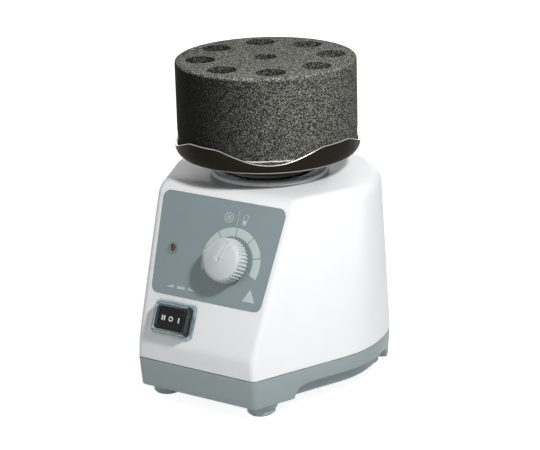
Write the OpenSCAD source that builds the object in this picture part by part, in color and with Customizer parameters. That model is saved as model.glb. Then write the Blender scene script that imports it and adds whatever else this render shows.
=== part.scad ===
// Vortex mixer for test tubes: touch-started orbiting head on a weighted body.
// Origin: middle of the footprint, on the table. +X right, +Y back, +Z up. Millimetres.

/* [Body] */
// Width of the body across its round back
body_w = 127; // [120:1:140]
// Depth of the body from front to back
body_d = 130; // [126:1:140]
// Motor axis in front of the back of the body
axis_rear = 55; // [50:0.5:58]
// Width of the front at the seam
front_w = 74; // [70:1:80]
// Height of the housing's top above the table
body_h = 111.2; // [110:0.2:122]
// Top of the base tray above its lower edge
tray_h = 16.1; // [15:0.1:20]
// Height of the upright strip above the seam
strip_h = 10.4; // [8:0.2:13]
// Lean of the front face from upright, in degrees
face_tilt = 23.64; // [20:0.1:26]
// Lean of the flat sides, in degrees
side_lean = 5.3; // [3:0.1:6]
// Lean of the round back, in degrees
back_lean = 2.7; // [1:0.1:4]
// Lean of the tray's outside, in degrees
tray_lean = 3.5; // [1:0.1:5]
// Housing wall
wall = 2.5; // [2:0.1:3]
// Radius of the housing's shoulder
shoulder_r = 6.5; // [3:0.5:9]

/* [Base] */
// Clear height under the tray
foot_h = 7.4; // [6:0.1:10]
// Radius of a rubber foot at the table
foot_r = 7.4; // [6:0.1:8]
// Height of the rubber foot's visible part
pad_h = 3.8; // [3:0.1:5]
// Tray floor thickness
floor_t = 3.6; // [3:0.1:4]
// Front feet: half the distance between them
foot_front_x = 30; // [28:0.5:31]
// Front feet: distance behind the front
foot_front_y = 16; // [14:0.5:18]
// Rear feet: half the distance between them
foot_rear_x = 41; // [38:0.5:41]
// Rear feet: distance in front of the back
foot_rear_y = 27; // [26:0.5:30]
// Rise of the arch in each side of the tray
arch_h = 7.3; // [5:0.1:8]
// Depth of the arch into the side
arch_in = 5; // [3:0.5:5.5]
// Arch start behind the front
arch_from = 24; // [22:1:30]
// Arch end in front of the back
arch_end = 32; // [28:1:40]
// Thickness of the cast base weight
weight_h = 10; // [8:0.5:10.5]

/* [Head] */
// Collar ring outer radius
collar_r = 31.8; // [30:0.2:34]
// Collar ring inner radius
collar_bore_r = 26; // [25.5:0.1:28]
// Collar ring height
collar_h = 3; // [2:0.2:4]
// Gap between the collar and the plate
head_gap = 8; // [7:0.5:12]
// Plate outer radius
plate_r = 49.3; // [46:0.1:52]
// Plate wall and floor thickness
plate_t = 1.4; // [1:0.1:2]
// Height of the plate's high rim
rim_h = 12.6; // [10:0.2:15]
// Height of the plate's rim at its four dips
dip_h = 5.7; // [4:0.1:7]
// Half angle of one rim dip, in degrees
dip_half = 34; // [25:1:38]
// Direction of the first rim dip
dip_angle = -55; // [-90:1:0]
// Foam adapter radius at the top
foam_r = 48.2; // [45:0.1:52]
// Foam adapter top above the plate's underside
foam_top = 50.8; // [42:0.2:60]
// Diameter of a tube hole
tube_d = 15.5; // [12:0.1:17]
// Depth of a tube hole
tube_depth = 42; // [20:1:44]
// Tube holes around the centre
tube_n = 8; // [6:1:8]
// Radius of the ring of tube holes
tube_ring_r = 34.5; // [32:0.1:36]
// Direction of the first tube hole
tube_angle = 172.97; // [0:1:180]
// Diameter of the middle hole
mid_hole_d = 12; // [11:0.1:14]
// Radius of the hub under the plate
hub_r = 14; // [13:0.1:15]

/* [Drive] */
// Offset of the crank pin, half the orbit
orbit_r = 2; // [1.5:0.1:2.2]
// Direction of the crank pin at rest
pin_turn = 140; // [0:5:355]
// Travel of the head when it is pressed
press_travel = 1.5; // [1:0.1:2]
// Height of the press springs at rest
spring_h = 11; // [10:0.25:12]
// Half the side of the square stator
stator_half = 32; // [30:0.5:33]
// Rotor radius
rotor_r = 16; // [14:0.5:17]
// Air gap between rotor and stator
air_gap = 0.5; // [0.4:0.1:1]
// Shaft radius
shaft_r = 4; // [3.5:0.1:4.2]
// Fan radius
fan_r = 26; // [20:1:28]
// Fan height
fan_h = 7; // [5:0.5:8]
// Crank pin radius
pin_r = 5; // [4:0.1:5]
// Crank disc radius
crank_r = 15; // [13:0.5:16]
// Counterweight outer radius
counter_r = 26; // [22:0.5:30]

/* [Controls] */
// Control panel: half its width at the top
panel_top_half = 38.65; // [36:0.05:39]
// Control panel: half its width at the bottom
panel_low_half = 34.1; // [32:0.05:35]
// Control panel: lower edge along the face
panel_v0 = 25.75; // [24:0.25:27]
// Control panel: upper edge along the face
panel_v1 = 79.8; // [78:0.2:80.4]
// Control panel: corner radius
panel_r = 4.2; // [2:0.2:6]
// Control panel: thickness
panel_t = 0.5; // [0.4:0.1:0.8]
// Speed knob: place across the face
knob_u = 10.8; // [8:0.1:14]
// Speed knob: place along the face
knob_v = 48.8; // [46:0.1:52]
// Speed knob radius at the skirt
knob_r = 12; // [11:0.1:14]
// Speed knob height
knob_h = 11; // [9:0.5:14]
// Flutes around the knob
flutes = 36; // [18:1:48]
// Indicator: place across the face
lamp_u = -25.9; // [-28:0.1:-24]
// Indicator: place along the face
lamp_v = 50.2; // [46:0.1:54]
// Switch: place across the face
switch_u = -15.7; // [-17:0.1:-14]
// Switch: place along the face
switch_v = 13.5; // [13:0.1:14]
// Clear boot of the switch: flange width
boot_w = 25.5; // [24.5:0.1:27]
// Clear boot of the switch: flange height
boot_l = 18.7; // [18.4:0.1:20]
// Clear boot of the switch: height above the face
boot_h = 6; // [5.6:0.1:7]

/* [Hidden] */
$fn = 96;
EPS = 0.01;
BIG = 400;
RUN = 0.04;          // radial clearance of a running fit
GAP = 0.3;           // clearance between parts that move past each other

// Controls
panel_gap = 0.3;       // all round the panel, and from its surface up to the face
recess = panel_t + panel_gap;
bezel_w = 21.4;
bezel_l = 15.4;
bezel_h = 1.8;
boot_t = 0.8;
dome_w = bezel_w + 2 * boot_t + 0.5;
dome_l = bezel_l + 2 * boot_t + 0.5;
boot_flange_t = 1;
cutout_w = 20;
cutout_l = 14.4;
switch_depth = 17;
rocker_w = 16.6;
rocker_l = 11.6;
rocker_axis_off = -1.5;
rocker_pin_r = 1.2;
rocker_pin_half = 6.9;
pot_r = 8.4;
pot_depth = 9;
pot_shaft_r = 3;
pot_bush_r = 3.5;
lamp_r = 2.05;
panel_hole_gap = 0.1;  // round the bush and the lamp

// Plan of the body; reach is how far the switch boot stands in front of the body
back_r = body_w / 2;
reach = boot_h * cos(face_tilt) - (switch_v - dome_l / 2) * sin(face_tilt);
front_y = (reach - body_d) / 2;
rear_y = front_y + body_d;
axis_back = body_d - axis_rear;
axis_y = front_y + axis_back;
front_diag = norm([front_w / 2, axis_back]);
side_ang = asin(back_r / front_diag) - atan2(front_w / 2, axis_back);

// Heights from the table up
tray_z = foot_h;
seam_z = tray_z + tray_h;
crease_z = seam_z + strip_h;
tray_floor_z = tray_z + floor_t;
weight_z = tray_floor_z + weight_h;
carrier_z = weight_z + spring_h;
carrier_t = 3;
fan_z = carrier_z + carrier_t + 2;
bracket_t = 3;
lower_z = fan_z + fan_h + 2;
leg_h = 9;
stack_z = lower_z + bracket_t + leg_h;
hub_z = body_h - wall - 0.2;
crank_t = 7;
crank_room = 5.9;
crank_z = hub_z - crank_room - crank_t;
nut_h = 2.6;
upper_z = crank_z - nut_h - bracket_t;
upper_leg_h = leg_h + 1;
stack_h = upper_z - upper_leg_h - stack_z;
collar_z = body_h + collar_h;
plate_z = collar_z + head_gap;
foam_z = plate_z + plate_t;

// Feet, and the columns above them
feet = [for (s = [-1, 1]) [s * foot_front_x, front_y + foot_front_y],
        for (s = [-1, 1]) [s * foot_rear_x, rear_y - foot_rear_y]];
foot_boss_r = foot_r + 1.8;
foot_seat_z = pad_h + 0.8;
foot_head_z = 2.8;
foot_screw_r = 2;
foot_screw_top_z = seam_z + 8.5;
column_r = 4;
column_top_z = foot_screw_top_z + 4;
weight_screw_x = 30;
weight_screw_r = 1.6;

// Motor fixings, measured from the motor axis
bolt_at = stator_half - 5;
bolt_r = 2;
bolt_end = 4;
guide_x = 38;
guide_y = 16;
guide_r = 3;
bush_wall = 1.5;

// Bearings: bore, outer radius, width
small_bearing = [3, 9.5, 6];
large_bearing = [shaft_r, 11, 7];
head_bearing_size = [pin_r, 11, 6];

// Motor
pole_w = 12;
bore_r = rotor_r + air_gap;
yoke_r = stator_half - 5.5;
coil_t = 4;
coil_reach = sqrt(pow(yoke_r, 2) - pow(pole_w / 2 + coil_t, 2)) - bore_r - 2.8;

// Crank and head
pin_offset = orbit_r * [cos(pin_turn), sin(pin_turn), 0];
grub_r = 1.5;
hub_bearing_z = hub_z + 1;
pin_top_z = hub_bearing_z + head_bearing_size[2] + 1.5;
neck_r = 20.5;
skirt_r = collar_bore_r - orbit_r - 0.5;
skirt_t = 1.2;
skirt_z = body_h + press_travel + 0.5;
dip_chord = plate_r * sin(dip_half);
dip_depth = rim_h - dip_h;
dip_r = (pow(dip_chord, 2) + pow(dip_depth, 2)) / (2 * dip_depth);
foam_low_r = plate_r - plate_t - 0.1;
plate_screw_r = 2.5;

// Mains inlet in the rear flat
inlet_z = seam_z + 14.5;
inlet_w = 27;
inlet_l = 20;
inlet_depth = 17;
inlet_rim_w = 30.6;
inlet_rim_l = 22.4;
inlet_rim_t = 2;
socket_w = 23.6;
socket_l = 16.4;
socket_depth = 14;
pin_places = [[-7, -2], [0, 2], [7, -2]];

// Electronics
board_w = 50;
board_l = 20;
board_t = 1.6;
board_y = front_y + 8;
board_z = weight_z + 5;
board_screw_r = 1.2;
touch_y = axis_y - (stator_half - 4.5);
touch_size = [20, 6.4, spring_h - 2.6];
touch_pin_r = 1.5;
touch_floor = 2;

// ---- Helpers ----

function unit(v) = v / norm(v);

// Arc that rounds corner b of the outline a-b-c, which runs anticlockwise.
function corner_arc(a, b, c, r, steps) =
    let (u = unit(a - b), v = unit(c - b),
         half = acos(u * v) / 2,
         mid = b + unit(u + v) * r / sin(half),
         from = b + u * r / tan(half) - mid,
         start = atan2(from[1], from[0]),
         sweep = 180 - 2 * half)
    [for (k = [0 : steps]) mid + r * [cos(start + sweep * k / steps), sin(start + sweep * k / steps)]];

function rounded(points, r, steps = 6) =
    let (n = len(points))
    [for (i = [0 : n - 1])
        each corner_arc(points[(i + n - 1) % n], points[i], points[(i + 1) % n], r, steps)];

function rect(w, l) = [[w, l] / 2, [-w, l] / 2, [-w, -l] / 2, [w, -l] / 2];

// Moves its children to the motor axis.
module on_axis(z = 0) { translate([0, axis_y, z]) children(); }

// Repeats its children at the four corners [+-x, +-y].
module four(x, y) { for (sx = [-1, 1], sy = [-1, 1]) translate([sx * x, sy * y, 0]) children(); }

// The sloping face: x across it, y up along it from the crease, z out of it.
module on_face(u = 0, v = 0, off = 0) {
    translate([0, front_y, crease_z]) rotate([90 - face_tilt, 0, 0]) translate([u, v, off]) children();
}

module plate2d(points, t) { linear_extrude(t) polygon(points); }

module tube(r_out, r_in, h) {
    difference() {
        cylinder(r = r_out, h = h);
        translate([0, 0, -1]) cylinder(r = r_in, h = h + 2);
    }
}

// Everything on the axis side of a plane at a distance from the motor axis, leaning inwards above z.
module inside_of(distance, direction, z, lean) {
    on_axis(z) rotate([0, 0, direction]) translate([distance, 0, 0]) rotate([0, -lean, 0])
        translate([-BIG, -BIG / 2, -BIG / 2]) cube(BIG);
}

// Horseshoe body between two heights, drawn in from the outside by inset. The flat sides are drawn in
// by flat_in more, so that they cut the round back cleanly.
module horseshoe(inset, z0, z1, round_lean, flat_lean, front_lean, flat_in = 0) {
    r0 = back_r - inset - (z0 - seam_z) * tan(round_lean);
    r1 = back_r - inset - (z1 - seam_z) * tan(round_lean);
    intersection() {
        union() {
            on_axis(z0) cylinder(h = z1 - z0, r1 = r0, r2 = r1);
            translate([-back_r, front_y + inset, z0])
                cube([2 * back_r, axis_back - inset - (back_r - inset) * sin(side_ang), z1 - z0]);
        }
        inside_of(back_r - inset - flat_in, -side_ang, seam_z, flat_lean);
        inside_of(back_r - inset - flat_in, 180 + side_ang, seam_z, flat_lean);
        inside_of(axis_back - inset, -90, seam_z, front_lean);
        inside_of(body_d - axis_back - inset, 90, seam_z, 0);
    }
}

// The housing's outer form, drawn in by inset.
module housing_form(inset, z0) {
    intersection() {
        horseshoe(inset, z0, body_h - inset, back_lean, side_lean, 0);
        on_face(0, 0, -inset) translate([-BIG / 2, -BIG / 2, -BIG]) cube(BIG);
        shoulder_form(inset, z0);
    }
}

// Turned form that rounds the shoulder over the round back.
module shoulder_form(inset, z0) {
    top_z = body_h - inset;
    mid_z = top_z - shoulder_r;
    top_r = back_r - inset - (top_z - seam_z) * tan(back_lean);
    arc = [for (a = [0 : 15 : 90]) [top_r - shoulder_r * (1 - cos(a)), mid_z + shoulder_r * sin(a)]];
    on_axis() rotate_extrude()
        polygon(concat([[0, z0], [axis_back * 2, z0], [axis_back * 2, mid_z - EPS]], arc, [[0, top_z]]));
}

// ---- Casing ----

module top_housing() {
    color("white") {
        difference() {
            housing_form(0, seam_z);
            housing_form(wall, seam_z - 1);
            on_axis(body_h - wall - 1) cylinder(r = neck_r, h = wall + 2);
            on_face(0, 0, -recess) plate2d(panel_outline(panel_gap), 5);
            on_face(knob_u, knob_v, -wall - 1) cylinder(r = pot_bush_r + panel_hole_gap, h = wall + 2);
            on_face(lamp_u, lamp_v, -wall - 1) cylinder(r = lamp_r + panel_hole_gap, h = wall + 2);
            on_face(switch_u, switch_v, -wall - 1) plate2d(rect(cutout_w, cutout_l), wall + 2);
            translate([0, rear_y - wall - 1, inlet_z]) rotate([-90, 0, 0])
                plate2d(rect(inlet_w + 0.2, inlet_l + 0.2), wall + 2);
            translate([0, rear_y - inlet_rim_t, inlet_z]) rotate([-90, 0, 0])
                plate2d(rounded(rect(inlet_rim_w, inlet_rim_l), 2), wall + 2);
        }
        for (p = feet) housing_column(p);
        inlet_backing();
    }
}

// Screw column over a foot, tied to the wall by a rib.
module housing_column(p) {
    outward = p - [0, axis_y];
    intersection() {
        difference() {
            union() {
                translate([p[0], p[1], tray_floor_z]) cylinder(r = column_r, h = column_top_z - tray_floor_z);
                translate([p[0], p[1], seam_z]) rotate([0, 0, atan2(outward[1], outward[0])])
                    translate([0, -1.25, 0]) cube([30, 2.5, column_top_z - seam_z]);
            }
            translate([p[0], p[1], tray_floor_z - 1])
                cylinder(r = foot_screw_r, h = foot_screw_top_z - tray_floor_z + 1);
        }
        union() {
            housing_form(wall - 0.5, seam_z);
            translate([p[0], p[1], tray_floor_z - 1]) cylinder(r = column_r + 1, h = tray_h);
        }
    }
}

// Thickens the rear wall behind the inlet's rim.
module inlet_backing() {
    depth = inlet_rim_t + 1.6;
    translate([0, rear_y - depth, inlet_z]) rotate([-90, 0, 0]) difference() {
        plate2d(rounded(rect(inlet_rim_w + 4, inlet_rim_l + 3), 2), depth - wall + EPS);
        translate([0, 0, -1]) plate2d(rect(inlet_w + 0.2, inlet_l + 0.2), depth);
        translate([0, 0, depth - inlet_rim_t]) plate2d(rounded(rect(inlet_rim_w, inlet_rim_l), 2), depth);
    }
}

module collar_ring() {
    lip = 1;
    color("gainsboro") on_axis() rotate_extrude() polygon([
        [collar_bore_r, body_h], [collar_r, body_h], [collar_r, collar_z - lip],
        for (a = [0 : 15 : 90]) [collar_r - lip + lip * cos(a), collar_z - lip + lip * sin(a)],
        [collar_bore_r + lip, collar_z], [collar_bore_r, collar_z - lip]]);
}

module tray_form(inset, z0, z1) { horseshoe(inset, z0, z1, -tray_lean, -tray_lean, -tray_lean, 0.2); }

module base_tray() {
    step_z = tray_z + arch_h + 2.2;
    color("slategray") difference() {
        union() {
            tray_form(0, tray_z, seam_z - 0.3);
            for (p = feet) foot_boss(p);
        }
        tray_form(wall, step_z, seam_z + 1);
        tray_form(arch_in + wall, tray_floor_z, seam_z + 1);
        difference() {
            translate([-BIG / 2, front_y + arch_from, tray_z - 1])
                cube([BIG, body_d - arch_from - arch_end, arch_h + 1]);
            tray_form(arch_in, tray_z - 2, seam_z);
        }
        for (p = feet) {
            translate([p[0], p[1], 0]) cylinder(r = foot_screw_r + 0.1, h = tray_floor_z + 1);
            translate([p[0], p[1], -1]) cylinder(r = foot_r + 0.05, h = foot_seat_z + 1);
        }
        for (s = [-1, 1]) translate([s * weight_screw_x, axis_y, tray_z + 1])
            cylinder(r = weight_screw_r, h = floor_t + 1);
    }
}

module foot_boss(p) {
    translate([p[0], p[1], pad_h])
        cylinder(r1 = foot_boss_r - 1, r2 = foot_boss_r + 0.4, h = foot_h - pad_h + EPS);
}

module base_weight() {
    inset = arch_in + wall + 1;
    color("dimgray") difference() {
        tray_form(inset, tray_floor_z, weight_z);
        for (p = feet) translate([p[0], p[1], tray_z]) cylinder(r = column_r + 0.6, h = weight_z);
        on_axis(tray_floor_z - 1) four(guide_x, guide_y) cylinder(r = guide_r - 0.5, h = weight_h + 2);
        for (s = [-1, 1]) translate([s * weight_screw_x, axis_y, tray_z])
            cylinder(r = weight_screw_r + 0.2, h = weight_z);
    }
}

// Pan-head screw pointing down, its head's seat at z = 0.
module pan_screw(shank_r, length, head_r, head_h) {
    translate([0, 0, -length]) cylinder(r = shank_r, h = length + EPS);
    difference() {
        cylinder(r = head_r, h = head_h);
        for (a = [0, 90]) rotate([0, 0, a])
            translate([-head_r * 0.6, -0.4, head_h - 1]) cube([head_r * 1.2, 0.8, 2]);
    }
}

module weight_screws() {
    color("silver") for (s = [-1, 1])
        translate([s * weight_screw_x, axis_y, weight_z])
            pan_screw(weight_screw_r, weight_h + floor_t - 1.2, weight_screw_r + 1.8, 2);
}

module rubber_feet() {
    color("gray") for (p = feet) translate([p[0], p[1], 0]) rotate_extrude() polygon([
        [foot_screw_r + 2.4, 0.6], [foot_r - 2.4, 0.6], [foot_r - 1.8, 0], [foot_r - 0.9, 0], [foot_r, 1],
        [foot_r, foot_seat_z], [foot_screw_r + 0.1, foot_seat_z], [foot_screw_r + 0.1, foot_head_z],
        [foot_screw_r + 2.4, foot_head_z]]);
}

module foot_screws() {
    color("silver") for (p = feet)
        translate([p[0], p[1], foot_head_z]) rotate([180, 0, 0])
            pan_screw(foot_screw_r, foot_screw_top_z - foot_head_z, foot_screw_r + 1.8, 1.8);
}

// ---- Controls on the sloping face ----

function panel_outline(grow) =
    let (top = panel_top_half + grow, low = panel_low_half + grow, v0 = panel_v0 - grow, v1 = panel_v1 + grow)
    rounded([[low, v0], [top, v1], [-top, v1], [-low, v0]], panel_r + grow);

module control_panel() {
    color("lightslategray") difference() {
        on_face(0, 0, -recess) plate2d(panel_outline(0), panel_t);
        on_face(knob_u, knob_v, -2) cylinder(r = pot_bush_r + panel_hole_gap, h = 4);
        on_face(lamp_u, lamp_v, -2) cylinder(r = lamp_r + panel_hole_gap, h = 4);
    }
}

module speed_knob() {
    skirt_off = 0.9;
    skirt_t = 2;
    cavity_h = 4;
    grip_r = knob_r - 0.4;
    color("lightgray") on_face(knob_u, knob_v, skirt_off) difference() {
        union() {
            cylinder(h = skirt_t, r = knob_r);
            translate([0, 0, skirt_t]) linear_extrude(knob_h - skirt_t - 1) fluted_outline(grip_r);
            translate([0, 0, knob_h - 1]) cylinder(h = 1, r1 = grip_r - 0.5, r2 = grip_r - 1.2);
            rotate([0, 0, -15]) translate([-1, 0, knob_h - 0.5]) cube([2, knob_r - 2.6, 1.2]);
        }
        translate([0, 0, -1]) cylinder(r = pot_bush_r + 3.6, h = cavity_h + 1);
        translate([0, 0, cavity_h - 1]) cylinder(r = pot_shaft_r, h = knob_h - cavity_h - 1);
    }
}

// Circle with a ring of half-round flutes cut into it.
module fluted_outline(r) {
    difference() {
        circle(r = r);
        for (i = [0 : flutes - 1]) rotate([0, 0, i * 360 / flutes])
            translate([r + 0.1, 0]) circle(r = 0.5, $fn = 16);
    }
}

module pot_shaft() {
    low = -wall - pot_depth + 2;
    color("silver") on_face(knob_u, knob_v, low) cylinder(r = pot_shaft_r, h = knob_h - 1.6 - low);
}

module speed_pot() {
    bush_top = 3;
    color("gray") on_face(knob_u, knob_v, -wall - pot_depth) difference() {
        union() {
            cylinder(r = pot_r, h = pot_depth);
            cylinder(r = pot_bush_r, h = pot_depth + wall + bush_top);
            for (x = [-5, 0, 5]) translate([x - 0.6, -pot_r - 4, 2]) cube([1.2, 6, 0.6]);
        }
        translate([0, 0, 1.6]) cylinder(r = pot_shaft_r + RUN, h = pot_depth + wall + bush_top);
    }
}

module pot_nut() {
    color("silver") on_face(knob_u, knob_v, panel_t - recess) difference() {
        cylinder(r = pot_bush_r + 2.3, h = 2.2, $fn = 6);
        translate([0, 0, -1]) cylinder(r = pot_bush_r, h = 5);
    }
}

module lamp_lens() {
    color("darkred") on_face(lamp_u, lamp_v, -7) {
        cylinder(r = lamp_r - 0.25, h = 6.2);
        translate([0, 0, -1]) cylinder(r = lamp_r + 0.4, h = 7 - wall);
    }
}

module lamp_bezel() {
    color("lightgray") on_face(lamp_u, lamp_v, panel_t - recess) tube(lamp_r + 0.85, lamp_r, 0.45);
}

module switch_body() {
    well_depth = 9;
    color("black") on_face(switch_u, switch_v, 0) difference() {
        union() {
            translate([0, 0, boot_flange_t]) plate2d(rounded(rect(bezel_w, bezel_l), 1.5), bezel_h);
            translate([0, 0, -switch_depth])
                plate2d(rect(cutout_w - 0.3, cutout_l - 0.3), switch_depth + boot_flange_t + EPS);
        }
        translate([0, 0, -well_depth]) plate2d(rect(rocker_w + 2 * GAP, rocker_l + 2 * GAP), 2 * well_depth);
        translate([0, 0, rocker_axis_off]) rotate([90, 0, 0])
            cylinder(r = rocker_pin_r + RUN, h = cutout_l + 2, center = true);
    }
}

// Rocker on a pin that runs up the slope; it tilts across the face.
module switch_rocker() {
    top = boot_flange_t + bezel_h + 0.9 - rocker_axis_off;
    side = rocker_w / 2 - 0.5;
    heel = [3, -4.6];
    bevel = [1.1, 0.7];
    half = [heel, [side, 0.6], [side, top - bevel[1]], [side - bevel[0], top]];
    outline = concat(half, [for (i = [3 : -1 : 0]) [-half[i][0], half[i][1]]]);
    color("black") on_face(switch_u, switch_v, rocker_axis_off) {
        intersection() {
            translate([0, rocker_l / 2, 0]) rotate([90, 0, 0]) plate2d(outline, rocker_l);
            translate([0, 0, -BIG / 2]) plate2d(rounded(rect(rocker_w, rocker_l), 0.8), BIG);
        }
        rotate([90, 0, 0]) cylinder(r = rocker_pin_r, h = 2 * rocker_pin_half, center = true);
    }
}

module switch_boot() {
    room = [dome_w, dome_l] - 2 * boot_t * [1, 1];
    color("lightsteelblue", 0.5) on_face(switch_u, switch_v, 0) difference() {
        union() {
            plate2d(rounded(rect(boot_w, boot_l), 2.4), boot_flange_t);
            plate2d(rounded(rect(dome_w, dome_l), 2), boot_h);
        }
        translate([0, 0, boot_flange_t])
            plate2d(rounded(rect(room[0], room[1]), 1.6), boot_h - boot_flange_t - boot_t);
        translate([0, 0, -1]) plate2d(rect(cutout_w, cutout_l), 3);
    }
}

module switch_terminals() {
    color("goldenrod") on_face(switch_u, switch_v, -switch_depth)
        for (x = [-7, 0, 7], y = [-3.5, 3.5]) translate([x - 0.4, y - 1.6, -6]) cube([0.8, 3.2, 6]);
}

// ---- Sprung carrier ----

module motor_plate() {
    color("silver") on_axis(carrier_z) difference() {
        union() {
            plate2d(rounded(rect(2 * stator_half, 2 * stator_half), 4), carrier_t);
            plate2d(rounded(rect(2 * guide_x + 12, 2 * guide_y + 12), 5), carrier_t);
        }
        translate([0, 0, -1]) cylinder(r = fan_r - 3, h = carrier_t + 2);
        translate([0, 0, -1]) four(guide_x, guide_y) cylinder(r = guide_r + bush_wall, h = carrier_t + 2);
        translate([0, 0, -1]) four(bolt_at, bolt_at) cylinder(r = bolt_r, h = carrier_t + 2);
    }
}

module guide_bushes() {
    color("ivory") on_axis(carrier_z) four(guide_x, guide_y)
        tube(guide_r + bush_wall, guide_r + RUN, carrier_t);
}

module guide_screws() {
    stop_gap = 0.1;
    color("silver") on_axis() four(guide_x, guide_y) {
        translate([0, 0, carrier_z + carrier_t + stop_gap]) cylinder(r = guide_r + 2.2, h = 3);
        translate([0, 0, weight_z]) cylinder(r = guide_r, h = spring_h + carrier_t + stop_gap + EPS);
        translate([0, 0, weight_z - 8]) cylinder(r = guide_r - 0.5, h = 8 + EPS);
    }
}

// Round wire along a helix, as one closed skin of rings.
module coil_spring(r, wire_r, height, turns) {
    sides = 8;
    per_turn = 14;
    rings = turns * per_turn;
    rise = height - 2 * wire_r;
    function ring_point(i, j) =
        let (a = 360 * i / per_turn, b = 360 * j / sides,
             z = wire_r + rise * i / rings, q = r + wire_r * cos(b))
        [q * cos(a), q * sin(a), z + wire_r * sin(b)];
    points = [for (i = [0 : rings], j = [0 : sides - 1]) ring_point(i, j)];
    skin = [for (i = [0 : rings - 1], j = [0 : sides - 1])
        let (k = (j + 1) % sides) [i * sides + j, i * sides + k, (i + 1) * sides + k, (i + 1) * sides + j]];
    ends = [[for (j = [sides - 1 : -1 : 0]) j], [for (j = [0 : sides - 1]) rings * sides + j]];
    polyhedron(points, concat(skin, ends), convexity = 10);
}

module press_springs() {
    color("silver") on_axis(weight_z) four(guide_x, guide_y) coil_spring(guide_r + 1.6, 0.55, spring_h, 4);
}

module motor_spacers() {
    color("silver") on_axis(carrier_z + carrier_t) four(bolt_at, bolt_at)
        tube(bolt_r + 1.8, bolt_r, lower_z - carrier_z - carrier_t);
}

// Four-armed end bracket: a flat plate from z = 0, with a bearing hub and four legs rising from it.
module bracket(hub_h, legs_h, bearing, pocket) {
    difference() {
        union() {
            for (a = [45, 135]) rotate([0, 0, a])
                plate2d(rounded(rect(2 * bolt_at * sqrt(2) + 9, 9), 4), bracket_t);
            cylinder(r = bearing[1] + 5, h = bracket_t);
            cylinder(r = bearing[1] + 2.5, h = hub_h);
            four(bolt_at, bolt_at) cylinder(r = bolt_r + 2, h = legs_h);
        }
        translate([0, 0, -1]) cylinder(r = bearing[0] + 1.5, h = hub_h + 2);
        translate([0, 0, pocket[0]]) cylinder(r = bearing[1], h = pocket[1] - pocket[0]);
        translate([0, 0, -1]) four(bolt_at, bolt_at) cylinder(r = bolt_r, h = legs_h + 2);
    }
}

module lower_bracket() {
    hub_h = small_bearing[2] + 1.5;
    color("lightgray") on_axis(lower_z) bracket(hub_h, bracket_t + leg_h, small_bearing, [1.5, hub_h + 1]);
}

module upper_bracket() {
    color("lightgray") on_axis(upper_z + bracket_t) rotate([180, 0, 0])
        bracket(large_bearing[2] + 1.5, bracket_t + upper_leg_h, large_bearing, [-1, large_bearing[2]]);
}

module motor_bolts() {
    head_h = 2.6;
    color("silver") on_axis(carrier_z) four(bolt_at, bolt_at) {
        cylinder(r = bolt_r, h = upper_z + bracket_t + bolt_end - carrier_z);
        translate([0, 0, -head_h]) cylinder(r = bolt_r + 1.6, h = head_h + EPS);
    }
}

module motor_nuts() {
    color("silver") on_axis(upper_z + bracket_t) four(bolt_at, bolt_at) difference() {
        cylinder(r = bolt_r + 2, h = nut_h, $fn = 6);
        translate([0, 0, -1]) cylinder(r = bolt_r, h = nut_h + 2);
    }
}

// ---- Motor ----

module stator_core() {
    color("dimgray") on_axis(stack_z) difference() {
        plate2d(rounded(rect(2 * stator_half, 2 * stator_half), 3), stack_h);
        translate([0, 0, -1]) difference() {
            cylinder(r = yoke_r, h = stack_h + 2);
            for (a = [0, 90]) rotate([0, 0, a]) translate([-yoke_r - 1, -pole_w / 2, -1])
                cube([2 * yoke_r + 2, pole_w, stack_h + 4]);
        }
        translate([0, 0, -1]) cylinder(r = bore_r, h = stack_h + 2);
        translate([0, 0, -1]) four(bolt_at, bolt_at) cylinder(r = bolt_r, h = stack_h + 2);
    }
}

// One winding per pole, wrapped round the pole's sides, top and bottom.
module stator_coils() {
    reach = yoke_r - 0.5;
    color("peru") on_axis(stack_z + stack_h / 2) for (a = [0 : 90 : 270]) rotate([0, 0, a])
        translate([bore_r + 2.6, 0, 0]) rotate([90, 0, 90]) difference() {
            plate2d(rounded(rect(pole_w + 2 * coil_t, stack_h + 2 * coil_t), 3), coil_reach);
            translate([0, 0, -1]) plate2d(rect(pole_w, stack_h), coil_reach + 2);
        }
}

// Copper ring round one corner of each pole face.
module shading_rings() {
    ring_w = 3.2;
    bar = 0.9;
    color("orange") on_axis(stack_z + stack_h / 2) for (a = [0 : 90 : 270]) rotate([0, 0, a])
        translate([bore_r + 1.4, pole_w / 2 - ring_w / 2 + bar, 0]) difference() {
            cube([1.2, ring_w, stack_h + 2 * bar], center = true);
            translate([0, -bar, 0]) cube([4, ring_w, stack_h], center = true);
        }
}

module ball_bearing(size) {
    race = (size[1] - size[0]) * 0.3;
    groove_r = (size[0] + size[1]) / 2;
    difference() {
        tube(size[1], size[0] + RUN, size[2]);
        for (z = [-1, size[2] - 0.5]) translate([0, 0, z])
            tube(groove_r + race / 2, groove_r - race / 2, 1.5);
    }
}

module lower_bearing() { color("silver") on_axis(lower_z + 1.5) ball_bearing(small_bearing); }

module upper_bearing() {
    color("silver") on_axis(upper_z + bracket_t - large_bearing[2]) ball_bearing(large_bearing);
}

module motor_shaft() {
    step_z = stack_z - 3;
    color("silver") on_axis() {
        translate([0, 0, fan_z - 1]) cylinder(r = small_bearing[0], h = step_z - fan_z + 1 + EPS);
        translate([0, 0, step_z]) cylinder(r = shaft_r, h = crank_z + crank_t - 1 - step_z);
    }
}

module rotor_core() {
    ring_h = 3;
    color("gray") on_axis(stack_z) difference() {
        union() {
            cylinder(r = rotor_r, h = stack_h);
            translate([0, 0, -ring_h]) cylinder(r = rotor_r - 1.5, h = stack_h + 2 * ring_h);
        }
        translate([0, 0, -ring_h - 1]) cylinder(r = shaft_r, h = stack_h + 2 * ring_h + 2);
        for (z = [-ring_h - EPS, stack_h]) translate([0, 0, z]) cylinder(r = shaft_r + 4, h = ring_h + EPS);
    }
}

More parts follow.
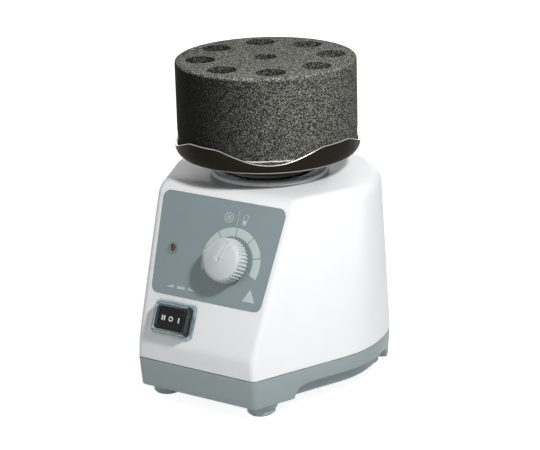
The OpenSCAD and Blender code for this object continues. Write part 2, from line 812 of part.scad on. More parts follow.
module cooling_fan() {
    blades = 9;
    disc_t = 1.4;
    hub = small_bearing[0] + 3;
    color("whitesmoke") on_axis(fan_z) difference() {
        union() {
            cylinder(r = fan_r, h = disc_t);
            cylinder(r = hub, h = fan_h);
            for (i = [0 : blades - 1]) rotate([0, 0, i * 360 / blades]) translate([hub - 1, -0.6, 0])
                cube([fan_r - hub, 1.2, fan_h]);
        }
        translate([0, 0, -1]) cylinder(r = small_bearing[0], h = fan_h + 2);
    }
}

// ---- Orbiting head ----

module crank() {
    color("dimgray") on_axis(crank_z) difference() {
        union() {
            cylinder(r = crank_r, h = crank_t);
            translate(pin_offset) cylinder(r = pin_r, h = pin_top_z - crank_z);
            translate(pin_offset) cylinder(r = pin_r + 2, h = hub_bearing_z - crank_z);
        }
        translate([0, 0, -1]) cylinder(r = shaft_r, h = crank_t);
        translate([0, 0, crank_t / 2]) rotate([90, 0, 0]) cylinder(r = grub_r, h = crank_r + 1);
    }
}

module crank_screw() {
    color("black") on_axis(crank_z + crank_t / 2) rotate([90, 0, 0]) translate([0, 0, shaft_r])
        cylinder(r = grub_r, h = crank_r - shaft_r - 2);
}

// Half ring on the crank disc, away from the pin.
module counterweight() {
    color("goldenrod") on_axis(crank_z) difference() {
        cylinder(r = counter_r, h = crank_t - 1);
        translate([0, 0, -1]) cylinder(r = crank_r, h = crank_t + 1);
        rotate([0, 0, pin_turn]) translate([0, -BIG / 2, -1]) cube([BIG, BIG, crank_t + 1]);
    }
}

// The head's parts are centred on the crank pin.
module on_pin(z = 0) { on_axis(z) translate(pin_offset) children(); }

module head_bearing() { color("silver") on_pin(hub_bearing_z) ball_bearing(head_bearing_size); }

module head_hub() {
    color("black") on_pin() difference() {
        translate([0, 0, hub_z]) cylinder(r = hub_r, h = plate_z - hub_z);
        translate([0, 0, hub_z - 1])
            cylinder(r = head_bearing_size[1], h = hub_bearing_z + head_bearing_size[2] - hub_z + 1);
        translate([0, 0, hub_z]) cylinder(r = pin_r + 1, h = pin_top_z + 0.6 - hub_z);
        translate([0, 0, plate_z - 5]) cylinder(r = plate_screw_r, h = 6);
    }
}

// Rubber skirt that covers the neck and brushes round inside the collar.
module head_skirt() {
    color("black") on_pin(skirt_z) difference() {
        union() {
            cylinder(r = skirt_r, h = skirt_t);
            cylinder(r = hub_r + 1.5, h = skirt_t + 3);
        }
        translate([0, 0, -1]) cylinder(r = hub_r, h = skirt_t + 6);
    }
}

module top_plate() {
    corner_r = 5;
    bend_at = [plate_r - corner_r, plate_z + corner_r];
    bend = [for (a = [0 : 15 : 90]) bend_at + corner_r * [sin(a), -cos(a)]];
    inner = [for (a = [90 : -15 : 0]) bend_at + (corner_r - plate_t) * [sin(a), -cos(a)]];
    rim = [[plate_r, plate_z + rim_h], [plate_r - plate_t, plate_z + rim_h]];
    color("black") on_pin() difference() {
        rotate_extrude() polygon(concat([[0, plate_z]], bend, rim, inner, [[0, foam_z]]));
        translate([0, 0, plate_z - 1]) cylinder(r = plate_screw_r + 0.1, h = plate_t + 2);
        for (a = [0, 90]) rotate([0, 0, dip_angle + a]) translate([-plate_r - 5, 0, plate_z + dip_h + dip_r])
            rotate([0, 90, 0]) cylinder(r = dip_r, h = 2 * plate_r + 10);
    }
}

module plate_screw() { color("silver") on_pin(foam_z) pan_screw(plate_screw_r, plate_t + 4.5, 4.6, 2.4); }

module foam_adapter() {
    top_z = plate_z + foam_top;
    rim_z = plate_z + rim_h;
    flare_z = rim_z + 12;
    heel = 4.6;
    color("dimgray") on_pin() difference() {
        rotate_extrude() polygon([[0, foam_z], [foam_low_r - heel, foam_z], [foam_low_r, foam_z + heel],
            [foam_low_r, rim_z], [foam_r, flare_z], [foam_r, top_z - 1], [foam_r - 1, top_z], [0, top_z]]);
        for (i = [0 : tube_n - 1]) rotate([0, 0, tube_angle - i * 360 / tube_n])
            translate([tube_ring_r, 0, top_z - tube_depth]) cylinder(d = tube_d, h = tube_depth + 1);
        translate([0, 0, foam_z - 1]) cylinder(d = mid_hole_d, h = top_z);
    }
}

// ---- Touch switch and electronics ----

module touch_switch() {
    color("black") translate([-touch_size[0] / 2, touch_y - touch_size[1] / 2, weight_z]) difference() {
        cube(touch_size);
        translate([touch_size[0] / 2, touch_size[1] / 2, touch_floor])
            cylinder(r = touch_pin_r + RUN, h = touch_size[2]);
    }
}

module touch_plunger() {
    rest = press_travel + 0.4;
    color("red") translate([0, touch_y, weight_z + touch_floor + rest])
        cylinder(r = touch_pin_r, h = spring_h - touch_floor - rest - GAP);
}

module on_board(z) { translate([0, board_y + board_l / 2, z]) children(); }

module at_board_corners() { four(board_w / 2 - 3, board_l / 2 - 3) children(); }

module circuit_board() {
    color("darkgreen") on_board(board_z) difference() {
        translate([-board_w / 2, -board_l / 2, 0]) cube([board_w, board_l, board_t]);
        translate([0, 0, -1]) at_board_corners() cylinder(r = board_screw_r, h = board_t + 2);
    }
}

module board_parts() {
    color("darkslategray") on_board(board_z + board_t) {
        translate([14, -2, 0]) cylinder(r = 4.5, h = 9);
        translate([4, -5, 0]) cube([5, 10, 8]);
        translate([-18, -1, 0]) cube([10, 6, 2]);
        translate([-4, -6, 0]) cube([5, 12, 2.4]);
    }
}

module board_posts() {
    color("silver") on_board(weight_z) at_board_corners()
        tube(board_screw_r + 1, board_screw_r, board_z - weight_z);
}

module board_screws() {
    color("silver") on_board(board_z + board_t) at_board_corners()
        pan_screw(board_screw_r, board_t + 3.5, board_screw_r + 0.9, 1.3);
}

module mains_inlet() {
    side = socket_w / 2;
    top = socket_l / 2;
    corner = 4;
    socket = [[side, -top], [side, top - corner], [side - corner, top],
              [corner - side, top], [-side, top - corner], [-side, -top]];
    color("black") translate([0, rear_y, inlet_z]) rotate([90, 0, 0]) difference() {
        union() {
            plate2d(rounded(rect(inlet_rim_w - 0.2, inlet_rim_l - 0.2), 1.9), inlet_rim_t);
            plate2d(rect(inlet_w, inlet_l), inlet_depth);
        }
        translate([0, 0, -1]) plate2d(rounded(socket, 1), socket_depth + 1);
        for (p = pin_places) translate([p[0], p[1], socket_depth - 1]) plate2d(rect(2, 4), inlet_depth);
    }
}

module inlet_pins() {
    tail = 3;
    color("silver") translate([0, rear_y, inlet_z]) rotate([90, 0, 0])
        for (p = pin_places) translate([p[0], p[1], 2]) plate2d(rect(2, 4), inlet_depth + tail - 2);
}

// Closed eight-sided tube through a path's points, each ring square to the bend there.
module wire(path, r) {
    sides = 8;
    last = len(path) - 1;
    function heading(i) = unit(path[min(i + 1, last)] - path[max(i - 1, 0)]);
    function across(i) = unit(cross(heading(i), abs(heading(i)[2]) > 0.9 ? [1, 0, 0] : [0, 0, 1]));
    function ring_point(i, j) =
        let (a = 360 * j / sides)
        path[i] + r * (cos(a) * across(i) + sin(a) * cross(across(i), heading(i)));
    points = [for (i = [0 : last], j = [0 : sides - 1]) ring_point(i, j)];
    skin = [for (i = [0 : last - 1], j = [0 : sides - 1])
        let (k = (j + 1) % sides) [i * sides + j, (i + 1) * sides + j, (i + 1) * sides + k, i * sides + k]];
    ends = [[for (j = [0 : sides - 1]) j], [for (j = [sides - 1 : -1 : 0]) last * sides + j]];
    polyhedron(points, concat(skin, ends), convexity = 10);
}

module mains_wires() {
    wire_r = 0.9;
    run_y = rear_y - inlet_depth - 4;
    low_z = weight_z + wire_r + 0.3;
    start_x = 9;
    side_x = 20;
    end_x = board_w / 2 + 4;
    color("royalblue") for (s = [-1, 1]) wire([
        [s * start_x, run_y, inlet_z - 3],
        [s * start_x, run_y, low_z + 4],
        [s * (start_x + 2), run_y - 1.5, low_z + 1],
        [s * (side_x - 4), run_y - 6, low_z],
        [s * side_x, axis_y + 18, low_z],
        [s * side_x, axis_y - 18, low_z],
        [s * (side_x + 2), axis_y - 30, low_z],
        [s * end_x, board_y + board_l, low_z]], wire_r);
}

top_housing();
collar_ring();
base_tray();
base_weight();
weight_screws();
rubber_feet();
foot_screws();
control_panel();
speed_knob();
pot_shaft();
speed_pot();
pot_nut();
lamp_lens();
lamp_bezel();
switch_body();
switch_rocker();
switch_boot();
switch_terminals();
motor_plate();
guide_bushes();
guide_screws();
press_springs();
motor_spacers();
lower_bracket();
upper_bracket();
motor_bolts();
motor_nuts();
stator_core();
stator_coils();
shading_rings();
lower_bearing();
upper_bearing();
motor_shaft();
rotor_core();
cooling_fan();
crank();
counterweight();
crank_screw();
head_bearing();
head_hub();
head_skirt();
top_plate();
plate_screw();
foam_adapter();
touch_switch();
touch_plunger();
circuit_board();
board_parts();
board_posts();
board_screws();
mains_inlet();
inlet_pins();
mains_wires();
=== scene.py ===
import math

import bmesh
import bpy
import numpy as np
from bpy.props import FloatProperty, FloatVectorProperty, IntProperty, PointerProperty
from mathutils import Matrix, Vector


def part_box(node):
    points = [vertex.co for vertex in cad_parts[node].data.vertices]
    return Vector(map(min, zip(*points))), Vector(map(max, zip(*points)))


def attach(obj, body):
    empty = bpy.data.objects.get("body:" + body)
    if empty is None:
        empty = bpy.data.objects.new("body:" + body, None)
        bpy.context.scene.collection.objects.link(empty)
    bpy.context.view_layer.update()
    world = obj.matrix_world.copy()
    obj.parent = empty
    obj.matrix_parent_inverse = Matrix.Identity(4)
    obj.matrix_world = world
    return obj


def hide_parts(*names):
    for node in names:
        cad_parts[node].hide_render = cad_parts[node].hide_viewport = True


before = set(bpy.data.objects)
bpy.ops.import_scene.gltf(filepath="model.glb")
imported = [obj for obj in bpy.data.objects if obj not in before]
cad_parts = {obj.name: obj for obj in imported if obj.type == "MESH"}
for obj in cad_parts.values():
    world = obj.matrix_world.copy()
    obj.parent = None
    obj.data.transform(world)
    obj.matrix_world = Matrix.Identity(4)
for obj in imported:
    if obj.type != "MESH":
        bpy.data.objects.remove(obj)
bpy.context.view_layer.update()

bl_info = {
    "name": "Vortex mixer",
    "version": (1, 0, 0),
    "blender": (4, 5, 0),
    "location": "View3D > Sidebar > Vortex mixer",
    "description": "Makes a vortex mixer for test tubes, piece by piece, around its CAD frame",
    "category": "Add Mesh",
}

MM = 0.001

# ---- Places that come from the frame ----

HOUSING_LOW, HOUSING_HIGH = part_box("top_housing")
TRAY_LOW, TRAY_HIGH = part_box("base_tray")
COLLAR_LOW, COLLAR_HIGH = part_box("collar_ring")
PLATE_LOW, PLATE_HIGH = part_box("top_plate")
FOAM_LOW, FOAM_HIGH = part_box("foam_adapter")

AXIS_Y = (COLLAR_LOW.y + COLLAR_HIGH.y) / 2
BACK_R = (HOUSING_HIGH.x - HOUSING_LOW.x) / 2
FRONT_Y = HOUSING_LOW.y
REAR_Y = HOUSING_HIGH.y
BODY_TOP = COLLAR_LOW.z
SEAM_GAP = 0.3 * MM
SEAM_Z = TRAY_HIGH.z + SEAM_GAP
HEAD_X = (PLATE_LOW.x + PLATE_HIGH.x) / 2
HEAD_Y = (PLATE_LOW.y + PLATE_HIGH.y) / 2
PLATE_Z = PLATE_LOW.z
PLATE_R = (PLATE_HIGH.x - PLATE_LOW.x) / 2

# Width, height and corner radius of the hole for the switch
SWITCH_HOLE = (20 * MM, 14.4 * MM, 0.5 * MM)

# Place of a piece that stays where it is built
STILL = Matrix.Identity(4)


# ---- Settings ----

def length(name, description, millimetres):
    """A length setting, shown in the scene's unit."""
    return FloatProperty(name=name, description=description, default=millimetres * MM,
                         unit="LENGTH", precision=5)


def angle(name, description, degrees):
    """An angle setting, shown in degrees."""
    return FloatProperty(name=name, description=description, default=math.radians(degrees),
                         subtype="ANGLE")


def colour(name, description, red, green, blue):
    """A colour setting in linear red, green and blue."""
    return FloatVectorProperty(name=name, description=description, default=(red, green, blue),
                               subtype="COLOR", min=0, max=1)


def strength(name, description, value, unit="NONE"):
    """A lamp's power or a strength of light, never less than nothing."""
    return FloatProperty(name=name, description=description, default=value, min=0, unit=unit)


class CasingSettings(bpy.types.PropertyGroup):
    front_width: length("Front width", "Width of the front at the seam", 74)
    strip_height: length("Strip height", "Height of the upright strip above the seam", 10.4)
    face_tilt: angle("Face tilt", "Lean of the front face from upright", 23.64)
    side_lean: angle("Side lean", "Lean of the flat sides", 5.3)
    back_lean: angle("Back lean", "Lean of the round back", 2.7)
    tray_lean: angle("Tray lean", "Lean of the tray's outside", 3.5)
    wall: length("Wall", "Thickness of the housing", 2.5)
    edge_round: length("Edge rounding", "Rounding of the upright front edges", 2.4)
    shoulder_round: length("Shoulder rounding", "Rounding of the shoulder under the head", 7)
    neck_radius: length("Neck", "Radius of the opening under the head", 20.5)
    arch_rise: length("Arch rise", "How far the tray's lower edge rises in each side", 7.4)
    arch_depth: length("Arch depth", "How far the wall under the arch stands back", 5)
    white: colour("White", "Colour of the housing", 0.83, 0.84, 0.85)
    grey: colour("Grey", "Colour of the base tray", 0.27, 0.325, 0.335)


class HeadSettings(bpy.types.PropertyGroup):
    sheet: length("Sheet", "Thickness of the plate's wall", 1.3)
    corner: length("Corner", "Radius of the plate's lower corner", 5.2)
    rim: length("Rim", "Height of the plate's high rim", 12.6)
    dip: length("Dip", "Height of the plate's rim at its dips", 5.7)
    dip_half: angle("Dip half width", "Half the width of one dip in the rim", 33)
    dip_turn: angle("Dip direction", "Direction of the first dip", -55)
    hole: length("Tube hole", "Diameter of a tube hole in the foam", 15.5)
    hole_depth: length("Hole depth", "Depth of a tube hole", 42)
    hole_ring: length("Hole ring", "Radius of the ring of tube holes", 34.5)
    hole_turn: angle("Hole direction", "Direction of the first tube hole", 172.97)
    hole_count: IntProperty(name="Tube holes", description="Holes round the middle", default=8, min=1)
    middle_hole: length("Middle hole", "Diameter of the middle hole", 12)
    foam_shade: colour("Foam", "Colour of the foam", 0.082, 0.083, 0.073)
    plate_shade: colour("Plate", "Colour of the plate's paint", 0.0135, 0.0108, 0.0074)


class ControlSettings(bpy.types.PropertyGroup):
    knob_u: length("Knob across", "Place of the knob across the face", 10.8)
    knob_v: length("Knob up", "Place of the knob up the face", 48.8)
    knob_radius: length("Knob radius", "Radius of the knob's foot", 12)
    knob_height: length("Knob height", "Height of the knob above the panel", 11)
    ribs: IntProperty(name="Ribs", description="Ribs round the knob", default=36, min=3)
    pointer_turn: angle("Pointer", "Turn of the knob's pointer from straight up", -15)
    dial_inner: length("Dial inner radius", "Inner radius of the dial's marks", 13.4)
    dial_outer: length("Dial outer radius", "Outer radius of the dial's marks", 18)
    switch_u: length("Switch across", "Place of the switch across the face", -15.7)
    switch_v: length("Switch up", "Place of the switch up the face", 13.5)
    lamp_u: length("Lamp across", "Place of the lamp across the face", -25.9)
    lamp_v: length("Lamp up", "Place of the lamp up the face", 50.2)
    knob_shade: colour("Knob", "Colour of the knob", 0.53, 0.57, 0.575)
    panel_shade: colour("Panel", "Colour of the control panel", 0.212, 0.27, 0.283)
    print_shade: colour("Print", "Colour of the panel's print", 0.49, 0.57, 0.55)


class StageSettings(bpy.types.PropertyGroup):
    key_power: strength("Key lamp", "Power of the key lamp", 2.05, "POWER")
    fill_power: strength("Fill lamp", "Power of the soft lamp in front", 0.85, "POWER")
    back_power: strength("Back lamp", "Power of the soft lamp behind", 2.2, "POWER")
    sky: strength("Sky", "Strength of the even light from all round", 0.14)
    floor_glow: strength("Floor glow", "Light of the floor's own where it is seen directly", 0.85)


# ---- Meshes ----

def make_piece(name, points, faces, sharp=35):
    """New object with a closed mesh, faces turned outwards, edges sharp past an angle in degrees."""
    mesh = bpy.data.meshes.new(name)
    mesh.from_pydata([tuple(p) for p in points], [], faces)
    shape = bmesh.new()
    shape.from_mesh(mesh)
    bmesh.ops.remove_doubles(shape, verts=shape.verts, dist=1e-7)
    bmesh.ops.dissolve_degenerate(shape, edges=shape.edges, dist=1e-7)
    bmesh.ops.recalc_face_normals(shape, faces=shape.faces)
    shape.to_mesh(mesh)
    shape.free()
    piece = bpy.data.objects.new(name, mesh)
    bpy.context.scene.collection.objects.link(piece)
    smooth(piece, sharp)
    return piece


def smooth(piece, sharp=35):
    """Shades a mesh smooth between the edges that are sharper than an angle in degrees."""
    piece.data.shade_smooth()
    piece.data.set_sharp_from_angle(angle=math.radians(sharp))


def paint(piece, material):
    """Gives a piece one material in place of all it had."""
    piece.data.materials.clear()
    piece.data.materials.append(material)


def ring_faces(rings, per_ring, wrap=False):
    """Quads between successive closed rings of points."""
    faces = []
    for i in range(rings if wrap else rings - 1):
        low = i * per_ring
        high = (i + 1) % rings * per_ring
        for j in range(per_ring):
            k = (j + 1) % per_ring
            faces.append((low + j, low + k, high + k, high + j))
    return faces


def circle(radius, height, segments, x=0.0, y=0.0):
    """Points of a ring; its radius and its height may each be a function of the direction."""
    points = []
    for j in range(segments):
        a = 2 * math.pi * j / segments
        r = radius(a) if callable(radius) else radius
        z = height(a) if callable(height) else height
        points.append((x + r * math.cos(a), y + r * math.sin(a), z))
    return points


def lathe(name, profile, x=0.0, y=0.0, segments=128, sharp=35):
    """Turned piece from a closed profile of (radius, height) points round an upright axis."""
    points = [p for radius, height in profile for p in circle(radius, height, segments, x, y)]
    return make_piece(name, points, ring_faces(len(profile), segments, wrap=True), sharp)


def arc(centre, radius, start, end, steps):
    """Points of an arc in the plane, its angles in degrees."""
    turns = [math.radians(start + (end - start) * i / steps) for i in range(steps + 1)]
    return [(centre[0] + radius * math.cos(a), centre[1] + radius * math.sin(a)) for a in turns]


def disc(radius, count):
    """Outline of a circle round the origin, with an even number of degrees from point to point."""
    return arc((0, 0), radius, 0, 360 - 360 / count, count - 1)


def rounded_rect(width, height, radius, steps=6):
    """Outline of a rectangle with rounded corners, anticlockwise round the origin."""
    x, y = width / 2 - radius, height / 2 - radius
    corners = [((x, y), 0), ((-x, y), 90), ((-x, -y), 180), ((x, -y), 270)]
    return [p for centre, start in corners for p in arc(centre, radius, start, start + 90, steps)]


def prism(name, outline, low, high, place=STILL, sharp=35):
    """Solid between two heights over a flat outline, carried to its place by a matrix."""
    return stack(name, [[(x, y, z) for x, y in outline] for z in (low, high)], place, sharp)


def stack(name, rings, place=STILL, sharp=35, wrap=False):
    """Solid through successive rings of points, closed flat at both ends unless it wraps round."""
    count = len(rings[0])
    points = [place @ Vector(p) for ring in rings for p in ring]
    faces = ring_faces(len(rings), count, wrap)
    if not wrap:
        last = (len(rings) - 1) * count
        faces += [tuple(range(count))[::-1], tuple(range(last, last + count))]
    return make_piece(name, points, faces, sharp)


def hollow(name, outer, inner, low, high, place):
    """Flat frame between two outlines that have the same number of points."""
    walls = [(inner, low), (outer, low), (outer, high), (inner, high)]
    return stack(name, [[(x, y, z) for x, y in outline] for outline, z in walls], place, wrap=True)


def join(name, pieces):
    """One object from several, with their materials kept."""
    with bpy.context.temp_override(active_object=pieces[0], selected_editable_objects=pieces,
                                   object=pieces[0], selected_objects=pieces):
        bpy.ops.object.join()
    pieces[0].name = name
    pieces[0].data.name = name
    return pieces[0]


def plain_mesh(piece):
    """Turns a piece and its modifiers into a plain mesh."""
    graph = bpy.context.evaluated_depsgraph_get()
    mesh = bpy.data.meshes.new_from_object(piece.evaluated_get(graph), depsgraph=graph)
    piece.modifiers.clear()
    piece.data = mesh
    return piece


def cut(piece, cutters):
    """Takes the cutters' space out of a piece."""
    for cutter in cutters:
        modifier = piece.modifiers.new("Cut", "BOOLEAN")
        modifier.operation = "DIFFERENCE"
        modifier.solver = "EXACT"
        modifier.object = cutter
    plain_mesh(piece)
    for cutter in cutters:
        bpy.data.objects.remove(cutter)
    return piece


def face_matrix(u=0.0, v=0.0, out=0.0, turn=0.0):
    """Place on the sloping face: x across it, y up along it from its lower crease, z out of it."""
    casing = bpy.context.scene.mixer_casing
    crease = Vector((0, FRONT_Y, SEAM_Z + casing.strip_height))
    return (Matrix.Translation(crease) @ Matrix.Rotation(math.pi / 2 - casing.face_tilt, 4, "X")
            @ Matrix.Translation((u, v, out)) @ Matrix.Rotation(turn, 4, "Z"))


# ---- Geometry Nodes ----

def ring_tree():
    """Node tree that repeats a mesh round the Z axis, from a first direction on by even steps."""
    tree = bpy.data.node_groups.get("RingOfCopies")
    if tree:
        return tree
    tree = bpy.data.node_groups.new("RingOfCopies", "GeometryNodeTree")
    face = tree.interface
    face.new_socket("Geometry", in_out="INPUT", socket_type="NodeSocketGeometry")
    face.new_socket("Count", in_out="INPUT", socket_type="NodeSocketInt")
    face.new_socket("Step", in_out="INPUT", socket_type="NodeSocketFloat")
    face.new_socket("Material", in_out="INPUT", socket_type="NodeSocketMaterial")
    face.new_socket("Geometry", in_out="OUTPUT", socket_type="NodeSocketGeometry")
    enter = tree.nodes.new("NodeGroupInput")
    leave = tree.nodes.new("NodeGroupOutput")
    points = tree.nodes.new("GeometryNodePoints")
    index = tree.nodes.new("GeometryNodeInputIndex")
    turn = tree.nodes.new("ShaderNodeMath")
    turn.operation = "MULTIPLY"
    rotation = tree.nodes.new("ShaderNodeCombineXYZ")
    copies = tree.nodes.new("GeometryNodeInstanceOnPoints")
    real = tree.nodes.new("GeometryNodeRealizeInstances")
    painted = tree.nodes.new("GeometryNodeSetMaterial")
    link = tree.links.new
    link(enter.outputs["Count"], points.inputs["Count"])
    link(index.outputs[0], turn.inputs[0])
    link(enter.outputs["Step"], turn.inputs[1])
    link(turn.outputs[0], rotation.inputs["Z"])
    link(points.outputs[0], copies.inputs["Points"])
    link(enter.outputs["Geometry"], copies.inputs["Instance"])
    link(rotation.outputs[0], copies.inputs["Rotation"])
    link(copies.outputs[0], real.inputs[0])
    link(real.outputs[0], painted.inputs["Geometry"])
    link(enter.outputs["Material"], painted.inputs["Material"])
    link(painted.outputs[0], leave.inputs[0])
    return tree


def repeat_round(piece, count, step, material, place):
    """Copies of a piece round the Z axis, made real and then carried to their place."""
    modifier = piece.modifiers.new("Ring", "NODES")
    modifier.node_group = ring_tree()
    values = {"Count": count, "Step": step, "Material": material}
    for socket in modifier.node_group.interface.items_tree:
        if socket.in_out == "INPUT" and socket.name in values:
            modifier[socket.identifier] = values[socket.name]
    plain_mesh(piece)
    piece.data.transform(place)
    return piece


# ---- Finishes ----

def add(tree, kind, inputs=None, **settings):
    """New shader node with its settings, and its inputs given as values or as sockets to link."""
    node = tree.nodes.new(kind)
    for name, value in settings.items():
        setattr(node, name, value)
    for name, value in (inputs or {}).items():
        if isinstance(value, bpy.types.NodeSocket):
            tree.links.new(value, node.inputs[name])
        else:
            node.inputs[name].default_value = value
    return node


def noise(tree, where, scale, detail, **extra):
    """Share between 0 and 1 that wanders from place to place, its scale in cells per metre."""
    inputs = {"Vector": where, "Scale": scale, "Detail": detail, **extra}
    return add(tree, "ShaderNodeTexNoise", inputs).outputs["Fac"]


def number(tree, operation, *values):
    """Result of a sum on values or sockets."""
    return add(tree, "ShaderNodeMath", dict(enumerate(values)), operation=operation).outputs[0]


def blend(tree, factor, first, second):
    """Number between two others."""
    return add(tree, "ShaderNodeMix", {"Factor": factor, "A": first, "B": second}).outputs[0]


def ranged(tree, value, start, end, low, high, **settings):
    """Number that goes from low to high while a value goes from start to end."""
    inputs = {"Value": value, "From Min": start, "From Max": end, "To Min": low, "To Max": high}
    return add(tree, "ShaderNodeMapRange", inputs, **settings).outputs[0]


def distance_along(tree, where, way):
    """How far places are from the origin in a direction."""
    return add(tree, "ShaderNodeVectorMath", {0: where, 1: way}, operation="DOT_PRODUCT").outputs["Value"]


def toned(tree, share, stops):
    """Colour that passes through stops, each a position and a colour, as a share rises."""
    ramp = add(tree, "ShaderNodeValToRGB", {"Fac": share})
    elements = ramp.color_ramp.elements
    elements[0].position, elements[0].color = stops[0]
    elements[1].position, elements[1].color = stops[-1]
    for position, tint in stops[1:-1]:
        elements.new(position).color = tint
    return ramp.outputs["Color"]


def shade(base, factor):
    """A colour made darker or lighter, with its alpha."""
    return tuple(min(1.0, c * factor) for c in base[:3]) + (1,)


def new_finish(name, roughness, metallic=0.0, **extra):
    """New material: its tree, its shader and its object coordinates."""
    material = bpy.data.materials.new(name)
    material.use_nodes = True
    tree = material.node_tree
    shader = tree.nodes["Principled BSDF"]
    shader.inputs["Roughness"].default_value = roughness
    shader.inputs["Metallic"].default_value = metallic
    for key, value in extra.items():
        shader.inputs[key].default_value = value
    where = add(tree, "ShaderNodeTexCoord").outputs["Object"]
    return material, tree, shader, where


def dress(tree, shader, tint, height, depth, gloss=None, strength=1.0):
    """Links a colour, a bump of the given depth and, if given, a roughness to a shader."""
    bump = add(tree, "ShaderNodeBump", {"Height": height, "Distance": depth, "Strength": strength})
    tree.links.new(tint, shader.inputs["Base Color"])
    tree.links.new(bump.outputs["Normal"], shader.inputs["Normal"])
    if gloss is not None:
        tree.links.new(gloss, shader.inputs["Roughness"])


def moulded(name, base, roughness, grain=0.5, depth=0.01, mottle=0.04, metallic=0.0, **extra):
    """Moulded or painted finish: fine grain in the surface, and soft changes of shade and gloss."""
    material, tree, shader, where = new_finish(name, roughness, metallic, **extra)
    broad = noise(tree, where, scale=70.0, detail=4.0)
    fine = noise(tree, where, scale=1 / (grain * MM), detail=3.0)
    low, high = 0.3, 0.7
    tint = toned(tree, blend(tree, 0.35, broad, fine),
                 [(low, shade(base, 1 - mottle)), (high, shade(base, 1 + mottle))])
    gloss = ranged(tree, broad, low, high, roughness * 0.88, min(1, roughness * 1.12))
    dress(tree, shader, tint, fine, depth * MM, gloss)
    return material


def metal(name, base, roughness, stretch=(1.0, 1.0, 0.08), grain=0.4, depth=0.006):
    """Machined or drawn metal: fine lines along one direction, and light stains."""
    material, tree, shader, where = new_finish(name, roughness, 1.0)
    along = add(tree, "ShaderNodeMapping", {"Vector": where, "Scale": stretch}).outputs[0]
    lines = noise(tree, along, scale=1 / (grain * MM), detail=4.0)
    stain = noise(tree, where, scale=120.0, detail=5.0)
    tint = toned(tree, stain, [(0.35, shade(base, 0.86)), (0.65, shade(base, 1.06))])
    gloss = ranged(tree, lines, 0.3, 0.7, roughness * 0.75, min(1, roughness * 1.3))
    dress(tree, shader, tint, lines, depth * MM, gloss)
    return material


def banded(name, dark, light, spacing, axis, roughness, metallic, depth=0.03):
    """Wound wire or stacked sheets: even bands along one axis, slightly uneven in shade."""
    material, tree, shader, where = new_finish(name, roughness, metallic)
    wave = {"Vector": where, "Scale": math.pi / (10 * spacing * MM), "Distortion": 0.6, "Detail": 2.0}
    bands = add(tree, "ShaderNodeTexWave", wave, bands_direction=axis).outputs["Fac"]
    uneven = noise(tree, where, scale=400.0, detail=3.0)
    tint = toned(tree, blend(tree, 0.3, bands, uneven), [(0.0, (*dark, 1)), (1.0, (*light, 1))])
    dress(tree, shader, tint, bands, depth * MM)
    return material


def pale_ragged_line(tree, where):
    """Share of a pale ragged line round the foam just over the front dip of the plate."""
    line_z, ragged, thick, fade = PLATE_Z + 7.3 * MM, 1.8 * MM, 0.3 * MM, 0.8 * MM
    toward = Vector((0.554, -0.832, 0.0))
    near = PLATE_R - 4.0 * MM + toward.dot(Vector((HEAD_X, HEAD_Y, 0)))
    ragged_noise = noise(tree, where, scale=420.0, detail=4.0, Roughness=0.7)
    height = add(tree, "ShaderNodeSeparateXYZ", {"Vector": where}).outputs["Z"]
    shifted = number(tree, "MULTIPLY_ADD", ragged_noise, ragged, height)
    on_line = number(tree, "COMPARE", shifted, line_z + ragged / 2, thick)
    in_front = ranged(tree, distance_along(tree, where, toward), near, near + fade, 0.0, 1.0)
    return number(tree, "MULTIPLY", on_line, in_front)


def foam_finish(name, base, top, shaded_side_share):
    """Open-cell foam: grit of dark pores and pale cell walls, with painted light on its top face, and painted
    shade on one side that turns to painted light on the other.
    """
    # Painted light and shade: the foam's colour is scaled from a low share on one side to a high share on the
    # other, along a fixed direction.
    lit_side_way, shaded_side_end, lit_side_end, lit_side_share = (0.83, 0.55, 0.0), -38 * MM, 25 * MM, 1.13
    top_light_share, pale_line_colour = 1.9, (0.75, 0.76, 0.72, 1)
    material, tree, shader, where = new_finish(name, 0.9, **{"Specular IOR Level": 0.1})
    cells = add(tree, "ShaderNodeTexVoronoi", {"Vector": where, "Scale": 2700.0, "Randomness": 1.0})
    grey = add(tree, "ShaderNodeSeparateColor", {"Color": cells.outputs["Color"]}).outputs["Red"]
    grit = noise(tree, where, scale=2300.0, detail=2.0, Roughness=0.8)
    pores = blend(tree, 0.22, grey, grit)
    tint = toned(tree, pores, [(0.12, shade(base, 0.06)), (0.6, shade(base, 0.55)), (0.85, shade(base, 3.7))])
    painted_side_light = ranged(tree, distance_along(tree, where, lit_side_way), shaded_side_end, lit_side_end, shaded_side_share, lit_side_share,
                  interpolation_type="SMOOTHSTEP")
    height = add(tree, "ShaderNodeSeparateXYZ", {"Vector": where}).outputs["Z"]
    # Painted light from above: the top face is painted lighter than the sides.
    painted_top_light = ranged(tree, height, top - 1.5 * MM, top - 0.3 * MM, 0.0, 1.0)
    share = blend(tree, painted_top_light, painted_side_light, top_light_share)
    tone = add(tree, "ShaderNodeVectorMath", {0: tint, "Scale": share}, operation="SCALE").outputs[0]
    lined_tone = add(tree, "ShaderNodeMix", {"Factor": pale_ragged_line(tree, where), "A": tone, "B": pale_line_colour},
               data_type="RGBA").outputs["Result"]
    dress(tree, shader, lined_tone, pores, 0.35 * MM, strength=0.8)
    return material


def clear_finish(name, tint):
    """Clear soft plastic with a slightly uneven skin."""
    material, tree, shader, where = new_finish(name, 0.06, **{"Transmission Weight": 1.0, "IOR": 1.2})
    uneven = noise(tree, where, scale=160.0, detail=2.0)
    tint = toned(tree, uneven, [(0.0, shade(tint, 0.97)), (1.0, shade(tint, 1.0))])
    dress(tree, shader, tint, uneven, 0.08 * MM)
    return material


# ---- Form of the casing ----

